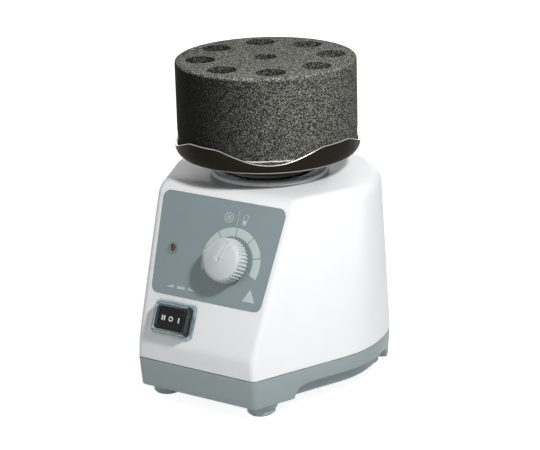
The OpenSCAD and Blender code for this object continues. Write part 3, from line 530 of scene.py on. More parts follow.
def soft_max(a, b, reach):
    """The larger of two distances, with the edge between them rounded over about reach."""
    near = np.maximum(reach - np.abs(a - b), 0)
    return np.maximum(a, b) + near ** 2 / (4 * reach)


def side_angle():
    """How far the flat sides turn outwards from front to back."""
    half = bpy.context.scene.mixer_casing.front_width / 2
    depth = AXIS_Y - FRONT_Y
    return math.asin(BACK_R / math.hypot(half, depth)) - math.atan2(half, depth)


def outline_distance(points, round_lean, flat_lean, front_lean):
    """How far points are outside the upright outline: its sides with the back, and its front."""
    casing = bpy.context.scene.mixer_casing
    turn = side_angle()
    x = np.abs(points[..., 0])
    y = points[..., 1] - AXIS_Y
    up = points[..., 2] - SEAM_Z
    across = x * math.cos(turn) - y * math.sin(turn)
    along = x * math.sin(turn) + y * math.cos(turn)
    back = np.hypot(across, np.maximum(along, 0)) - BACK_R + up * math.tan(round_lean)
    side = across - BACK_R + up * math.tan(flat_lean)
    ahead = -y - (AXIS_Y - FRONT_Y) + up * math.tan(front_lean)
    behind = y - (REAR_Y - AXIS_Y)
    body = soft_max(side, back, 1.5 * MM)
    return soft_max(body, behind, casing.edge_round), ahead


def housing_distance(points):
    """How far points are outside the housing."""
    casing = bpy.context.scene.mixer_casing
    body, ahead = outline_distance(points, casing.back_lean, casing.side_lean, 0)
    crease_z = SEAM_Z + casing.strip_height
    slope = ((FRONT_Y - points[..., 1]) * math.cos(casing.face_tilt)
             + (points[..., 2] - crease_z) * math.sin(casing.face_tilt))
    front = soft_max(ahead, slope, 1.2 * MM)
    body = soft_max(body, front, casing.edge_round)
    return soft_max(body, points[..., 2] - BODY_TOP, casing.shoulder_round)


def tray_distance(points):
    """How far points are outside the base tray's walls."""
    casing = bpy.context.scene.mixer_casing
    lean = -casing.tray_lean
    body, ahead = outline_distance(points, lean, lean, lean)
    return soft_max(body, ahead, casing.edge_round)


def cast(distance, origins, directions, depth):
    """Where rays from inside a form pass the given depth under its skin, by halving the way out."""
    longest, halvings = 0.13, 32
    low = np.zeros(directions.shape[:-1])
    high = np.full(directions.shape[:-1], longest)
    for _ in range(halvings):
        middle = (low + high) / 2
        inside = distance(origins + directions * middle[..., None]) < -depth
        low = np.where(inside, middle, low)
        high = np.where(inside, high, middle)
    return origins + directions * low[..., None]


def column_turns(z, flat_lean, round_lean, counts):
    """Directions round the motor axis, closest together at the corners of the outline at a height."""
    casing = bpy.context.scene.mixer_casing
    up = z - SEAM_Z
    turn = side_angle()
    flat = BACK_R - up * math.tan(flat_lean)
    round_r = BACK_R - up * math.tan(round_lean)
    ahead = FRONT_Y - AXIS_Y + max(0.0, up - casing.strip_height) * math.tan(casing.face_tilt)
    corner = math.atan2(ahead, (flat + ahead * math.sin(turn)) / math.cos(turn))
    meet = math.acos(min(flat / round_r, 1)) - turn
    rear = math.asin((REAR_Y - AXIS_Y) / round_r)
    spread = math.radians(2.5)
    stops = [-math.pi / 2, corner - spread, corner + spread, meet, rear - spread, rear + spread, math.pi / 2]
    right = [stops[0]]
    for start, end, count in zip(stops, stops[1:], counts):
        right += [start + (end - start) * i / count for i in range(1, count + 1)]
    left = [math.pi - a for a in reversed(right[1:-1])]
    return np.array(right + left)


def level_ways(turns):
    """Level unit vectors in the given directions."""
    return np.stack([np.cos(turns), np.sin(turns), np.zeros(len(turns))], -1)


def housing_skin(depth):
    """Rings of the housing's skin at a depth, from the seam over the shoulder to the neck."""
    casing = bpy.context.scene.mixer_casing
    counts = (14, 12, 16, 26, 8, 6)
    crease = SEAM_Z + casing.strip_height
    shoulder, lip, fine_step = 9 * MM, 0.3 * MM, 0.3 * MM
    heights = [SEAM_Z, SEAM_Z + lip, SEAM_Z + 4 * MM, crease - 3 * MM]
    heights += [crease + i * fine_step for i in range(-4, 5)]
    heights += list(np.linspace(crease + 4 * MM, BODY_TOP - shoulder, 20))
    rings = []
    for z in heights:
        out = level_ways(column_turns(z, casing.side_lean, casing.back_lean, counts))
        tucked = lip if z == SEAM_Z and depth == 0 else 0
        rings.append(cast(housing_distance, np.array([0, AXIS_Y, z]), out, depth + tucked))
    base = rings[-1] - out * shoulder
    up = np.array([0, 0, 1.0])
    for lift in np.radians(np.linspace(0, 90, 13)[1:]):
        rings.append(cast(housing_distance, base, out * math.cos(lift) + up * math.sin(lift), depth))
    neck = np.array([0, AXIS_Y, base[0][2]]) + out * casing.neck_radius
    upward = np.broadcast_to(up, out.shape)
    for share in np.linspace(0, 1, 7)[1:]:
        rings.append(cast(housing_distance, base + (neck - base) * share, upward, depth))
    return rings


def panel_outline(grow):
    """Outline of the control panel, widened all round: wider at the top, with rounded corners."""
    low_half, high_half = 34.1 * MM + grow, 38.65 * MM + grow
    low_v, high_v = 25.75 * MM - grow, 79.8 * MM + grow
    radius = 4.2 * MM + grow
    corners = [(low_half, low_v), (high_half, high_v), (-high_half, high_v), (-low_half, low_v)]
    points = []
    for i, here in enumerate(corners):
        before, after = Vector(corners[i - 1]), Vector(corners[(i + 1) % 4])
        here = Vector(here)
        a, b = (before - here).normalized(), (after - here).normalized()
        half = a.angle(b) / 2
        middle = here + (a + b).normalized() * radius / math.sin(half)
        start = here + a * radius / math.tan(half) - middle
        begin = math.degrees(math.atan2(start.y, start.x))
        points += arc(middle, radius, begin, begin + 180 - 2 * math.degrees(half), 8)
    return points


class MIXER_OT_housing(bpy.types.Operator):
    """Make the white housing: its rounded shell with the recess for the panel and the openings"""
    bl_idname = "mixer.housing"
    bl_label = "Housing"

    def execute(self, context):
        casing = context.scene.mixer_casing
        control = context.scene.mixer_control
        housing = stack("housing", housing_skin(0) + housing_skin(casing.wall)[::-1], wrap=True)
        inlet_low, inlet_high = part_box("mains_inlet")
        inlet_z = (inlet_low.z + inlet_high.z) / 2
        rear = Matrix.Translation((0, REAR_Y, inlet_z)) @ Matrix.Rotation(math.pi / 2, 4, "X")
        shaft_r, lamp_r = 3.6 * MM, 2.15 * MM
        flange = rounded_rect(30.6 * MM, 22.4 * MM, 2 * MM)
        socket = rounded_rect(27.2 * MM, 20.2 * MM, 0.5 * MM)
        deep, past = -8 * MM, 3 * MM
        flange_deep, socket_deep = 2 * MM, 9 * MM
        cut(housing, [
            prism("panel_cut", panel_outline(0.3 * MM), -0.8 * MM, past, face_matrix()),
            prism("shaft_cut", disc(shaft_r, 45), deep, past, face_matrix(control.knob_u, control.knob_v)),
            prism("lamp_cut", disc(lamp_r, 36), deep, past, face_matrix(control.lamp_u, control.lamp_v)),
            prism("switch_cut", rounded_rect(*SWITCH_HOLE), deep, past,
                  face_matrix(control.switch_u, control.switch_v)),
            prism("inlet_cut", flange, -past, flange_deep, rear),
            prism("socket_cut", socket, -past, socket_deep, rear),
        ])
        smooth(housing, 30)
        paint(housing, moulded("white_plastic", casing.white, 0.42, grain=0.35, depth=0.006, mottle=0.012))
        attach(housing, "housing")
        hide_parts("top_housing")
        return {"FINISHED"}


def arch_height(y):
    """How far the tray's lower edge has risen at a place along its side."""
    casing = bpy.context.scene.mixer_casing
    start, end, run = FRONT_Y + 23 * MM, REAR_Y - 32 * MM, 2.4 * MM
    rise = 1 - np.exp(-np.clip(y - start, 0, None) / run)
    fall = 1 - np.exp(-np.clip(end - y, 0, None) / run)
    return casing.arch_rise * rise * fall


def foot_places():
    """Centres of the four feet, from their node's mesh."""
    low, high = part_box("rubber_feet")
    middle = (low.y + high.y) / 2
    points = np.array([v.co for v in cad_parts["rubber_feet"].data.vertices])
    places = []
    for side in (-1, 1):
        for end in (-1, 1):
            mine = points[(points[:, 0] * side > 0) & ((points[:, 1] - middle) * end > 0)]
            centre = (mine.min(0) + mine.max(0)) / 2
            places.append((centre[0], centre[1]))
    return places


def foot_boss(x, y, floor):
    """Boss under the tray's floor that holds one foot, bored for its screw."""
    pad_r, boss_r, root_r, bore_r = 7.45 * MM, 8.2 * MM, 9.7 * MM, 2.2 * MM
    pad_top, rim_z, root_z = 4.6 * MM, 3.8 * MM, floor + 0.3 * MM
    profile = [(pad_r, pad_top), (pad_r, rim_z), (boss_r, rim_z), (boss_r + 0.4 * MM, rim_z + 0.2 * MM),
               (root_r, root_z), (bore_r, root_z), (bore_r, pad_top)]
    return lathe("boss", profile, x, y, 64)


class MIXER_OT_tray(bpy.types.Operator):
    """Make the grey base tray with the arch in each side, its floor and the bosses of the feet"""
    bl_idname = "mixer.tray"
    bl_label = "Base tray"

    def execute(self, context):
        casing = context.scene.mixer_casing
        low, top = TRAY_LOW.z + 3.6 * MM, TRAY_HIGH.z
        turns = column_turns(SEAM_Z, -casing.tray_lean, -casing.tray_lean, (20, 12, 90, 60, 8, 6))
        out = level_ways(turns)

        def ring(z, depth):
            origins = np.zeros_like(out)
            origins[:, 1] = AXIS_Y
            origins[:, 2] = z
            return cast(tray_distance, origins, out, depth)

        edge = low + arch_height(ring(top, 0)[:, 1])
        inner = casing.arch_depth + casing.wall
        floor_top = low + 3.6 * MM
        step = low + casing.arch_rise + 2.2 * MM
        bevel, heel, hair = 0.4 * MM, 0.8 * MM, 0.01 * MM
        wall_top = top - bevel
        rings = [ring(floor_top, inner), ring(step, inner), ring(step, casing.wall), ring(top, casing.wall),
                 ring(top, bevel), ring(top - bevel * 0.25, bevel * 0.3), ring(wall_top, 0)]
        rings += [ring(wall_top + (edge + heel - wall_top) * share, 0) for share in (0.33, 0.66, 1)]
        rings += [ring(edge + 0.25 * MM, 0.2 * MM), ring(edge, heel), ring(edge, casing.arch_depth),
                  ring(low, casing.arch_depth + hair)]
        shell = stack("tray_shell", rings)
        tray = join("tray", [shell] + [foot_boss(x, y, low) for x, y in foot_places()])
        paint(tray, moulded("grey_plastic", casing.grey, 0.5, grain=0.4, depth=0.012, mottle=0.03))
        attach(tray, "housing")
        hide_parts("base_tray")
        return {"FINISHED"}


class MIXER_OT_collar(bpy.types.Operator):
    """Make the pale collar round the neck: a rounded bead over a narrower foot"""
    bl_idname = "mixer.collar"
    bl_label = "Collar"

    def execute(self, context):
        outer_r = (COLLAR_HIGH.x - COLLAR_LOW.x) / 2
        bore_r = outer_r - 5.8 * MM
        foot_r, bead_r = outer_r - 3.2 * MM, 1.9 * MM
        foot, top = COLLAR_LOW.z, COLLAR_HIGH.z
        bead = arc((outer_r - bead_r, top - bead_r), bead_r, -10, 90, 12)
        profile = [(bore_r, foot), (foot_r, foot), (foot_r, foot + 0.7 * MM),
                   (outer_r - 0.3 * MM, foot + 0.75 * MM)]
        profile += bead
        profile += [(bore_r + 1.5 * MM, top), (bore_r + 0.4 * MM, top - 0.3 * MM), (bore_r, top - 1 * MM)]
        collar = lathe("collar", profile, 0.0, AXIS_Y, 192)
        pale = (0.68, 0.71, 0.73)
        paint(collar, moulded("collar_plastic", pale, 0.42, grain=0.35, depth=0.006, mottle=0.02))
        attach(collar, "housing")
        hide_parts("collar_ring")
        return {"FINISHED"}


# ---- Head ----

def rim_height(turn):
    """Height of the plate's rim in a direction: nearly level, with four dips."""
    head = bpy.context.scene.mixer_head
    off = abs((turn - head.dip_turn + math.pi / 4) % (math.pi / 2) - math.pi / 4)
    share = off / head.dip_half
    curve = 0.5
    if share < curve:
        part = share ** 2 / (curve * (2 - curve))
    else:
        part = (curve + 2 * (share - curve)) / (2 - curve)
    rise = head.dip + (head.rim - head.dip) * part
    reach = 0.9 * MM
    near = max(reach - abs(rise - head.rim), 0)
    return min(rise, head.rim) - near ** 2 / (4 * reach)


class MIXER_OT_plate(bpy.types.Operator):
    """Make the painted plate with its four dips"""
    bl_idname = "mixer.plate"
    bl_label = "Top plate"

    def execute(self, context):
        head = context.scene.mixer_head
        inner_r = PLATE_R - head.sheet
        bore_r, lip = 2.6 * MM, 0.28 * MM
        bend_centre = (PLATE_R - head.corner, PLATE_Z + head.corner)
        bend = arc(bend_centre, head.corner, -90, 0, 18)
        inner_bend = arc(bend_centre, head.corner - head.sheet, 0, -90, 8)

        def ring(radius, height):
            return circle(radius, height, 288, HEAD_X, HEAD_Y)

        def rim(drop):
            return lambda a: PLATE_Z + rim_height(a) - drop

        def wall_foot(a):
            return PLATE_Z + min(head.corner, rim_height(a) - 0.6 * MM)

        edge = [(PLATE_R, lip), (PLATE_R - lip * 0.3, lip * 0.3), (PLATE_R - lip, 0),
                (inner_r + lip, 0), (inner_r + lip * 0.3, lip * 0.3), (inner_r, lip)]
        rings = [ring(bore_r, PLATE_Z)]
        rings += [ring(r, z) for r, z in bend[:-1]]
        rings += [ring(PLATE_R, wall_foot)]
        rings += [ring(r, rim(drop)) for r, drop in edge]
        rings += [ring(inner_r, wall_foot)]
        rings += [ring(r, z) for r, z in inner_bend[1:]]
        rings += [ring(bore_r, PLATE_Z + head.sheet)]
        plate = stack("plate", rings, wrap=True, sharp=50)
        plate.data.materials.append(moulded("plate_paint", head.plate_shade, 0.42, grain=0.5, depth=0.012,
                                            mottle=0.12, **{"Specular IOR Level": 0.045}))
        plate.data.materials.append(metal("plate_edge", (0.62, 0.60, 0.56), 0.3))
        self.bare_edges(plate, bend_centre, inner_r)
        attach(plate, "head")
        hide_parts("top_plate")
        return {"FINISHED"}

    @staticmethod
    def bare_edges(plate, bend_centre, inner_r):
        """Gives the plate's lip and the worn line on its lower bend the second material."""
        worn_low, worn_high = math.radians(-80), math.radians(-48)
        for face in plate.data.polygons:
            radius = math.hypot(face.center.x - HEAD_X, face.center.y - HEAD_Y)
            lean = math.atan2(face.center.z - bend_centre[1], radius - bend_centre[0])
            on_lip = face.normal.z > 0.2 and radius > inner_r - 0.1 * MM
            on_worn_line = face.normal.z < -0.5 and worn_low < lean < worn_high
            if on_lip or on_worn_line:
                face.material_index = 1


class MIXER_OT_foam(bpy.types.Operator):
    """Make the foam insert with its tube holes and its open-cell skin"""
    bl_idname = "mixer.foam"
    bl_label = "Foam insert"

    def execute(self, context):
        head = context.scene.mixer_head
        top, bottom = FOAM_HIGH.z, FOAM_LOW.z
        in_rim = PLATE_R - head.sheet - 0.5 * MM
        free_r = (FOAM_HIGH.x - FOAM_LOW.x) / 2 - 0.25 * MM
        heel = head.corner - head.sheet
        swell, crown, past = 9 * MM, 1.4 * MM, 5 * MM
        segments = 192

        def ring(radius, z):
            return circle(radius, z, segments, HEAD_X, HEAD_Y)

        def skin_radius(z):
            """Radius in a direction: inside the rim, then swelling out over it."""
            def radius(a):
                grown = min(max((z - PLATE_Z - rim_height(a)) / swell, 0), 1)
                return in_rim + (free_r - in_rim) * grown * grown * (3 - 2 * grown)
            return radius

        levels = [bottom + heel] + list(np.linspace(bottom + heel + 1 * MM, top - 1.6 * MM, 26))
        rings = [ring(0, bottom)]
        rings += [ring(r, z) for r, z in arc((in_rim - heel, bottom + heel), heel, -90, 0, 5)[:-1]]
        rings += [ring(skin_radius(z), z) for z in levels]
        rings += [ring(r, z) for r, z in arc((free_r - crown, top - crown), crown, 0, 90, 4)[1:]]
        rings += [ring(0, top)]
        foam = make_piece("foam", [p for r in rings for p in r], ring_faces(len(rings), segments))

        holes = [(HEAD_X, HEAD_Y, head.middle_hole / 2, bottom - past)]
        for i in range(head.hole_count):
            a = head.hole_turn - 2 * math.pi * i / head.hole_count
            holes.append((HEAD_X + head.hole_ring * math.cos(a), HEAD_Y + head.hole_ring * math.sin(a),
                          head.hole / 2, top - head.hole_depth))
        cut(foam, [prism("hole_cut", disc(radius, 72), floor, top + past, Matrix.Translation((x, y, 0)))
                   for x, y, radius, floor in holes[1:] + holes[:1]])
        worn = foam.modifiers.new("Worn edges", "BEVEL")
        worn.width = 0.3 * MM
        worn.segments = 2
        worn.limit_method = "ANGLE"
        worn.angle_limit = math.radians(40)
        plain_mesh(foam)
        smooth(foam, 50)
        # Painted shade inside the tube holes: their walls and floors take a darker colour.
        painted_hole_shade = shade(head.foam_shade, 0.65)
        # The last argument is the share of colour left on the side with the painted shade.
        paint(foam, foam_finish("foam_skin", head.foam_shade, top, shaded_side_share=0.09))
        foam.data.materials.append(foam_finish("foam_holes", painted_hole_shade, top + past, shaded_side_share=0.6))
        # Faces inside the holes take the darker material with the painted shade.
        for face in foam.data.polygons:
            in_hole = any(math.hypot(face.center.x - x, face.center.y - y) < radius + 0.1 * MM
                          for x, y, radius, floor in holes)
            face.material_index = 1 if in_hole and face.center.z < top - 0.31 * MM else 0
        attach(foam, "head")
        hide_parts("foam_adapter")
        return {"FINISHED"}


# ---- Controls ----

class MIXER_OT_knob(bpy.types.Operator):
    """Make the speed knob with its ribs, domed front and pointer edge"""
    bl_idname = "mixer.knob"
    bl_label = "Speed knob"

    def execute(self, context):
        control = context.scene.mixer_control
        place = face_matrix(control.knob_u, control.knob_v, 0.9 * MM, control.pointer_turn)
        segments = 216
        height, foot, dome = control.knob_height, control.knob_radius, 2.0 * MM
        front_r = foot - 1.5 * MM
        flat_r = front_r - 0.7 * MM
        shaft_r, hollow_r, hollow_z = 3.0 * MM, 7.1 * MM, 3.0 * MM

        edge_x, edge_start = 0.9 * MM, 1.2 * MM
        ridge_high, ridge_half = 0.35 * MM, 0.35 * MM
        slope, slope_most, slope_start, slope_run = 0.12, 1.0 * MM, 7 * MM, 12 * MM
        notch_deep, notch_lip, notch_reach = 1.7 * MM, 0.3 * MM, 1.8 * MM

        def front(x, y):
            """Height of the knob's front: a low dome, cut away on one side of the pointer's edge."""
            r = min(math.hypot(x, y) / front_r, 1)
            left = -x + edge_x
            upper = min(max((y + edge_start) / edge_start, 0), 1)
            lift = ridge_high * upper * math.exp(-(left / ridge_half) ** 2)
            if left > 0:
                fading = min(max((y + slope_start) / slope_run, 0), 1)
                lift -= min(left * slope, slope_most) * fading
                lift -= notch_deep * upper * min(left / notch_lip, 1) * math.exp(-left / notch_reach)
            return height - dome * r * r + lift * (1 - r ** 6)

        profile = [(shaft_r, height - 3 * MM), (shaft_r, hollow_z), (hollow_r, hollow_z), (hollow_r, 0),
                   (foot - 1.9 * MM, 0), (foot - 1.2 * MM, 0), (foot - 1.1 * MM, 0.3 * MM),
                   (foot - 1.25 * MM, 4.0 * MM)]
        profile += arc((flat_r, height - dome - 1.0 * MM), 0.95 * MM, 10, 80, 4)
        rings = [circle(radius, z, segments) for radius, z in profile]
        for share in np.linspace(0.97, 0.0, 44):
            radius = flat_r * share
            rings.append([(x, y, front(x, y)) for x, y, z in circle(radius, 0, segments)])
        body = stack("knob_body", rings, place, sharp=40)
        plastic = moulded("knob_plastic", control.knob_shade, 0.4, grain=0.3, depth=0.006, mottle=0.02)
        paint(body, plastic)
        rib = self.rib(height, foot, height - dome - 0.8 * MM, control.ribs)
        repeat_round(rib, control.ribs, 2 * math.pi / control.ribs, plastic, place)
        knob = join("knob", [body, rib])
        smooth(knob, 40)
        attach(knob, "dial")
        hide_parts("speed_knob")
        return {"FINISHED"}

    @staticmethod
    def rib(height, foot, high, count):
        """One rib along the knob's side, rounded across and faded at both ends."""
        low, inner = 0.2 * MM, foot - 2.0 * MM
        half = math.pi * (foot - 0.4 * MM) / count * 0.55
        levels = [(low, 0.75), (low + 0.5 * MM, 1.0), (high - 0.6 * MM, 0.95), (high, 0.45)]
        rings = []
        for z, scale in levels:
            crest = foot - z / height * 0.9 * MM
            across = [(inner, -half)]
            for t in np.radians([-80, -50, -20, 20, 50, 80]):
                out = (crest - inner) * (0.35 + 0.65 * math.cos(t)) * scale
                across.append((inner + out, half * math.sin(t) * 0.9))
            across.append((inner, half))
            rings.append([(x, y, z) for x, y in across])
        return stack("knob_rib", rings, sharp=60)


class MIXER_OT_panel_print(bpy.types.Operator):
    """Print the control panel: the dial's six marks and the plain signs"""
    bl_idname = "mixer.panel_print"
    bl_label = "Panel print"

    def execute(self, context):
        control = context.scene.mixer_control
        low, high = -0.31 * MM, -0.24 * MM
        ink = moulded("panel_ink", control.print_shade, 0.5, grain=0.3, depth=0.003, mottle=0.03)
        wheel = face_matrix(4.9 * MM, 71.1 * MM)
        tube = face_matrix(15.0 * MM, 71.1 * MM, 0, math.radians(-12))
        spoke_in, spoke_out, spoke_half = 0.3 * MM, 2.2 * MM, 0.13 * MM
        spoke = prism("wheel_spoke", [(spoke_in, -spoke_half), (spoke_out, -spoke_half),
                                      (spoke_out, spoke_half), (spoke_in, spoke_half)], low, high)
        fill = [(x, y - 1.35 * MM) for x, y in rounded_rect(1.7 * MM, 2.0 * MM, 0.4 * MM)]
        pieces = [
            self.dial(control, low, high, ink),
            hollow("wheel_rim", disc(2.75 * MM, 45), disc(2.45 * MM, 45), low, high, wheel),
            repeat_round(spoke, 8, math.pi / 4, ink, wheel),
            hollow("tube_sign", rounded_rect(2.6 * MM, 5.6 * MM, 0.8 * MM),
                   rounded_rect(2.1 * MM, 5.1 * MM, 0.6 * MM), low, high, tube),
            prism("tube_fill", fill, low, high, tube),
        ]
        dash = rounded_rect(0.35 * MM, 0.62 * MM, 0.1 * MM, 2)
        for i in range(8):
            place = face_matrix(10.5 * MM, (67.9 + i * 0.98) * MM)
            pieces.append(prism("dash", dash, low, high, place))
        limit_sign = [(22.5, 30.0), (30.0, 30.0), (26.1, 36.7)]
        rising_sign = [(-25.6, 29.7), (-20.8, 29.7), (-20.8, 31.3)]
        bar_sign = [(-18.4, 29.6), (-13.6, 29.6), (-13.6, 31.0), (-18.4, 31.0)]
        falling_sign = [(-11.4, 29.7), (-6.6, 29.7), (-11.4, 31.3)]
        for outline in (limit_sign, rising_sign, bar_sign, falling_sign):
            pieces.append(prism("sign", [(u * MM, v * MM) for u, v in outline], low, high, face_matrix()))
        for piece in pieces:
            paint(piece, ink)
        signs = join("panel_print", pieces)
        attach(signs, "housing")
        return {"FINISHED"}

    @staticmethod
    def dial(control, low, high, ink):
        """Six marks in an arc round the knob, a small gap between them."""
        count, start, step, gap = 6, math.radians(-22.5), 37.5, 0.9
        outer = arc((0, 0), control.dial_outer, gap, step - gap, 20)
        inner = arc((0, 0), control.dial_inner, step - gap * 1.3, gap * 1.3, 20)
        mark = prism("dial_mark", outer + inner, low, high)
        mark.data.transform(Matrix.Rotation(start, 4, "Z"))
        place = face_matrix(control.knob_u + 0.2 * MM, control.knob_v - 0.3 * MM)
        return repeat_round(mark, count, math.radians(step), ink, place)


class MIXER_OT_switch(bpy.types.Operator):
    """Make the clear boot over the switch, and the marks on its rocker"""
    bl_idname = "mixer.switch"
    bl_label = "Switch"

    def execute(self, context):
        control = context.scene.mixer_control
        place = face_matrix(control.switch_u, control.switch_v)
        boot = stack("switch_cover", self.boot_rings(), place, 60, wrap=True)
        paint(boot, clear_finish("clear_vinyl", (0.70, 0.80, 0.83)))
        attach(boot, "housing")
        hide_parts("switch_boot")

        ink = moulded("switch_ink", (0.8, 0.82, 0.82), 0.5, grain=0.3, depth=0.002, mottle=0.03)
        high = 3.75 * MM
        low = high - 0.05 * MM
        bar = rounded_rect(0.7 * MM, 2.6 * MM, 0.1 * MM, 2)
        marks = [prism("bar_mark", bar, low, high, face_matrix(control.switch_u + u * MM, control.switch_v))
                 for u in (-5.4, -4.0, 5.0)]
        marks.append(hollow("ring_mark", disc(1.35 * MM, 45), disc(0.85 * MM, 45), low, high, place))
        for mark in marks:
            paint(mark, ink)
        signs = join("rocker_marks", marks)
        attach(signs, "rocker")
        return {"FINISHED"}

    @staticmethod
    def boot_rings():
        """Rings of the boot: its flange and dome outside, then down inside to the switch's hole."""
        wide, tall, top, skin = 23.5 * MM, 17.5 * MM, 6.0 * MM, 0.8 * MM
        lean, dome, dome_in = 0.9 * MM, 1.5 * MM, 0.9 * MM
        flange_wide, flange_tall, flange_top = wide + 2 * MM, tall + 1.2 * MM, 1.0 * MM
        lifts = np.radians(np.linspace(0, 90, 7))

        def ring(width, height, radius, z):
            return [(x, y, z) for x, y in rounded_rect(width, height, radius, 8)]

        rings = [ring(flange_wide, flange_tall, 2.4 * MM, 0),
                 ring(flange_wide, flange_tall, 2.4 * MM, flange_top - 0.2 * MM),
                 ring(flange_wide - 0.3 * MM, flange_tall - 0.3 * MM, 2.3 * MM, flange_top),
                 ring(wide, tall, 2.2 * MM, flange_top),
                 ring(wide - 0.3 * MM, tall - 0.3 * MM, 2.2 * MM, flange_top + 0.3 * MM)]
        for lift in lifts:
            less = 2 * (lean + dome * (1 - math.cos(lift)))
            rings.append(ring(wide - less, tall - less, 2.4 * MM, top - dome + dome * math.sin(lift)))
        for lift in lifts[::-1]:
            less = 2 * (lean + skin + dome_in * (1 - math.cos(lift)))
            z = top - skin - dome_in + dome_in * math.sin(lift)
            rings.append(ring(wide - less, tall - less, 1.8 * MM, z))
        rings += [ring(21.8 * MM, 15.8 * MM, 1.4 * MM, flange_top), ring(*SWITCH_HOLE, flange_top),
                  ring(*SWITCH_HOLE, 0)]
        return rings


class MIXER_OT_finishes(bpy.types.Operator):
    """Give each carried-over CAD node its own finish"""
    bl_idname = "mixer.finishes"
    bl_label = "Finishes"

    def execute(self, context):
        control = context.scene.mixer_control
        steel = metal("zinc_steel", (0.60, 0.60, 0.58), 0.32)
        dark_steel = metal("ground_steel", (0.42, 0.42, 0.43), 0.26)
        aluminium = moulded("cast_aluminium", (0.58, 0.59, 0.60), 0.45, grain=0.8, depth=0.03,
                            mottle=0.06, metallic=0.9)
        iron = moulded("cast_iron", (0.085, 0.085, 0.09), 0.62, grain=0.9, depth=0.07,
                       mottle=0.2, metallic=0.5)
        black = moulded("black_plastic", (0.012, 0.012, 0.013), 0.36, grain=0.35, depth=0.006, mottle=0.1)
        brass = metal("brass", (0.72, 0.52, 0.22), 0.28)
        finishes = {
            "base_weight": iron,
            "rubber_feet": moulded("foot_rubber", (0.36, 0.40, 0.41), 0.55,
                                   grain=0.4, depth=0.02, mottle=0.05),
            "control_panel": moulded("panel_film", control.panel_shade, 0.38, grain=0.28, mottle=0.035),
            "lamp_lens": moulded("lamp_red", (0.05, 0.012, 0.008), 0.2, depth=0.002, mottle=0.1),
            "lamp_bezel": moulded("lamp_ring", (0.17, 0.2, 0.2), 0.35,
                                  grain=0.3, depth=0.004, mottle=0.03),
            "switch_body": black,
            "switch_rocker": moulded("rocker_black", (0.006, 0.006, 0.006), 0.25, grain=0.3, depth=0.005,
                                     mottle=0.1, **{"Specular IOR Level": 0.12}),
            "speed_pot": moulded("pot_case", (0.30, 0.28, 0.24), 0.5, grain=0.4, mottle=0.06),
            "guide_bushes": moulded("nylon", (0.72, 0.70, 0.62), 0.45,
                                    grain=0.3, depth=0.005, mottle=0.03),
            "cooling_fan": moulded("fan_plastic", (0.70, 0.70, 0.66), 0.45,
                                   grain=0.4, depth=0.008, mottle=0.03),
            "lower_bracket": aluminium,
            "upper_bracket": aluminium,
            "stator_core": banded("laminations", (0.10, 0.10, 0.11), (0.30, 0.30, 0.31), 0.5, "Z", 0.45, 0.8),
            "stator_coils": banded("windings", (0.28, 0.09, 0.03), (0.62, 0.26, 0.10), 0.45, "Z", 0.3, 0.7),
            "shading_rings": metal("copper", (0.75, 0.34, 0.18), 0.3),
            "rotor_core": banded("rotor_stack", (0.16, 0.16, 0.17), (0.38, 0.38, 0.40), 0.5, "Z", 0.4, 0.85),
            "crank": dark_steel,
            "counterweight": brass,
            "head_hub": black,
            "head_skirt": moulded("skirt_rubber", (0.42, 0.41, 0.37), 0.5,
                                  grain=0.4, depth=0.015, mottle=0.1),
            "touch_switch": black,
            "touch_plunger": moulded("plunger_red", (0.45, 0.03, 0.02), 0.35,
                                     grain=0.3, depth=0.004, mottle=0.05),
            "circuit_board": moulded("board_green", (0.02, 0.14, 0.05), 0.35, grain=0.6, mottle=0.2),
            "board_parts": moulded("part_black", (0.03, 0.03, 0.035), 0.4, grain=0.4, mottle=0.15),
            "mains_inlet": black,
            "inlet_pins": brass,
            "switch_terminals": brass,
            "mains_wires": moulded("wire_blue", (0.03, 0.12, 0.42), 0.4,
                                   grain=0.4, depth=0.006, mottle=0.05),
        }
        for name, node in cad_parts.items():
            paint(node, finishes.get(name, steel))
        return {"FINISHED"}


# ---- Stage ----

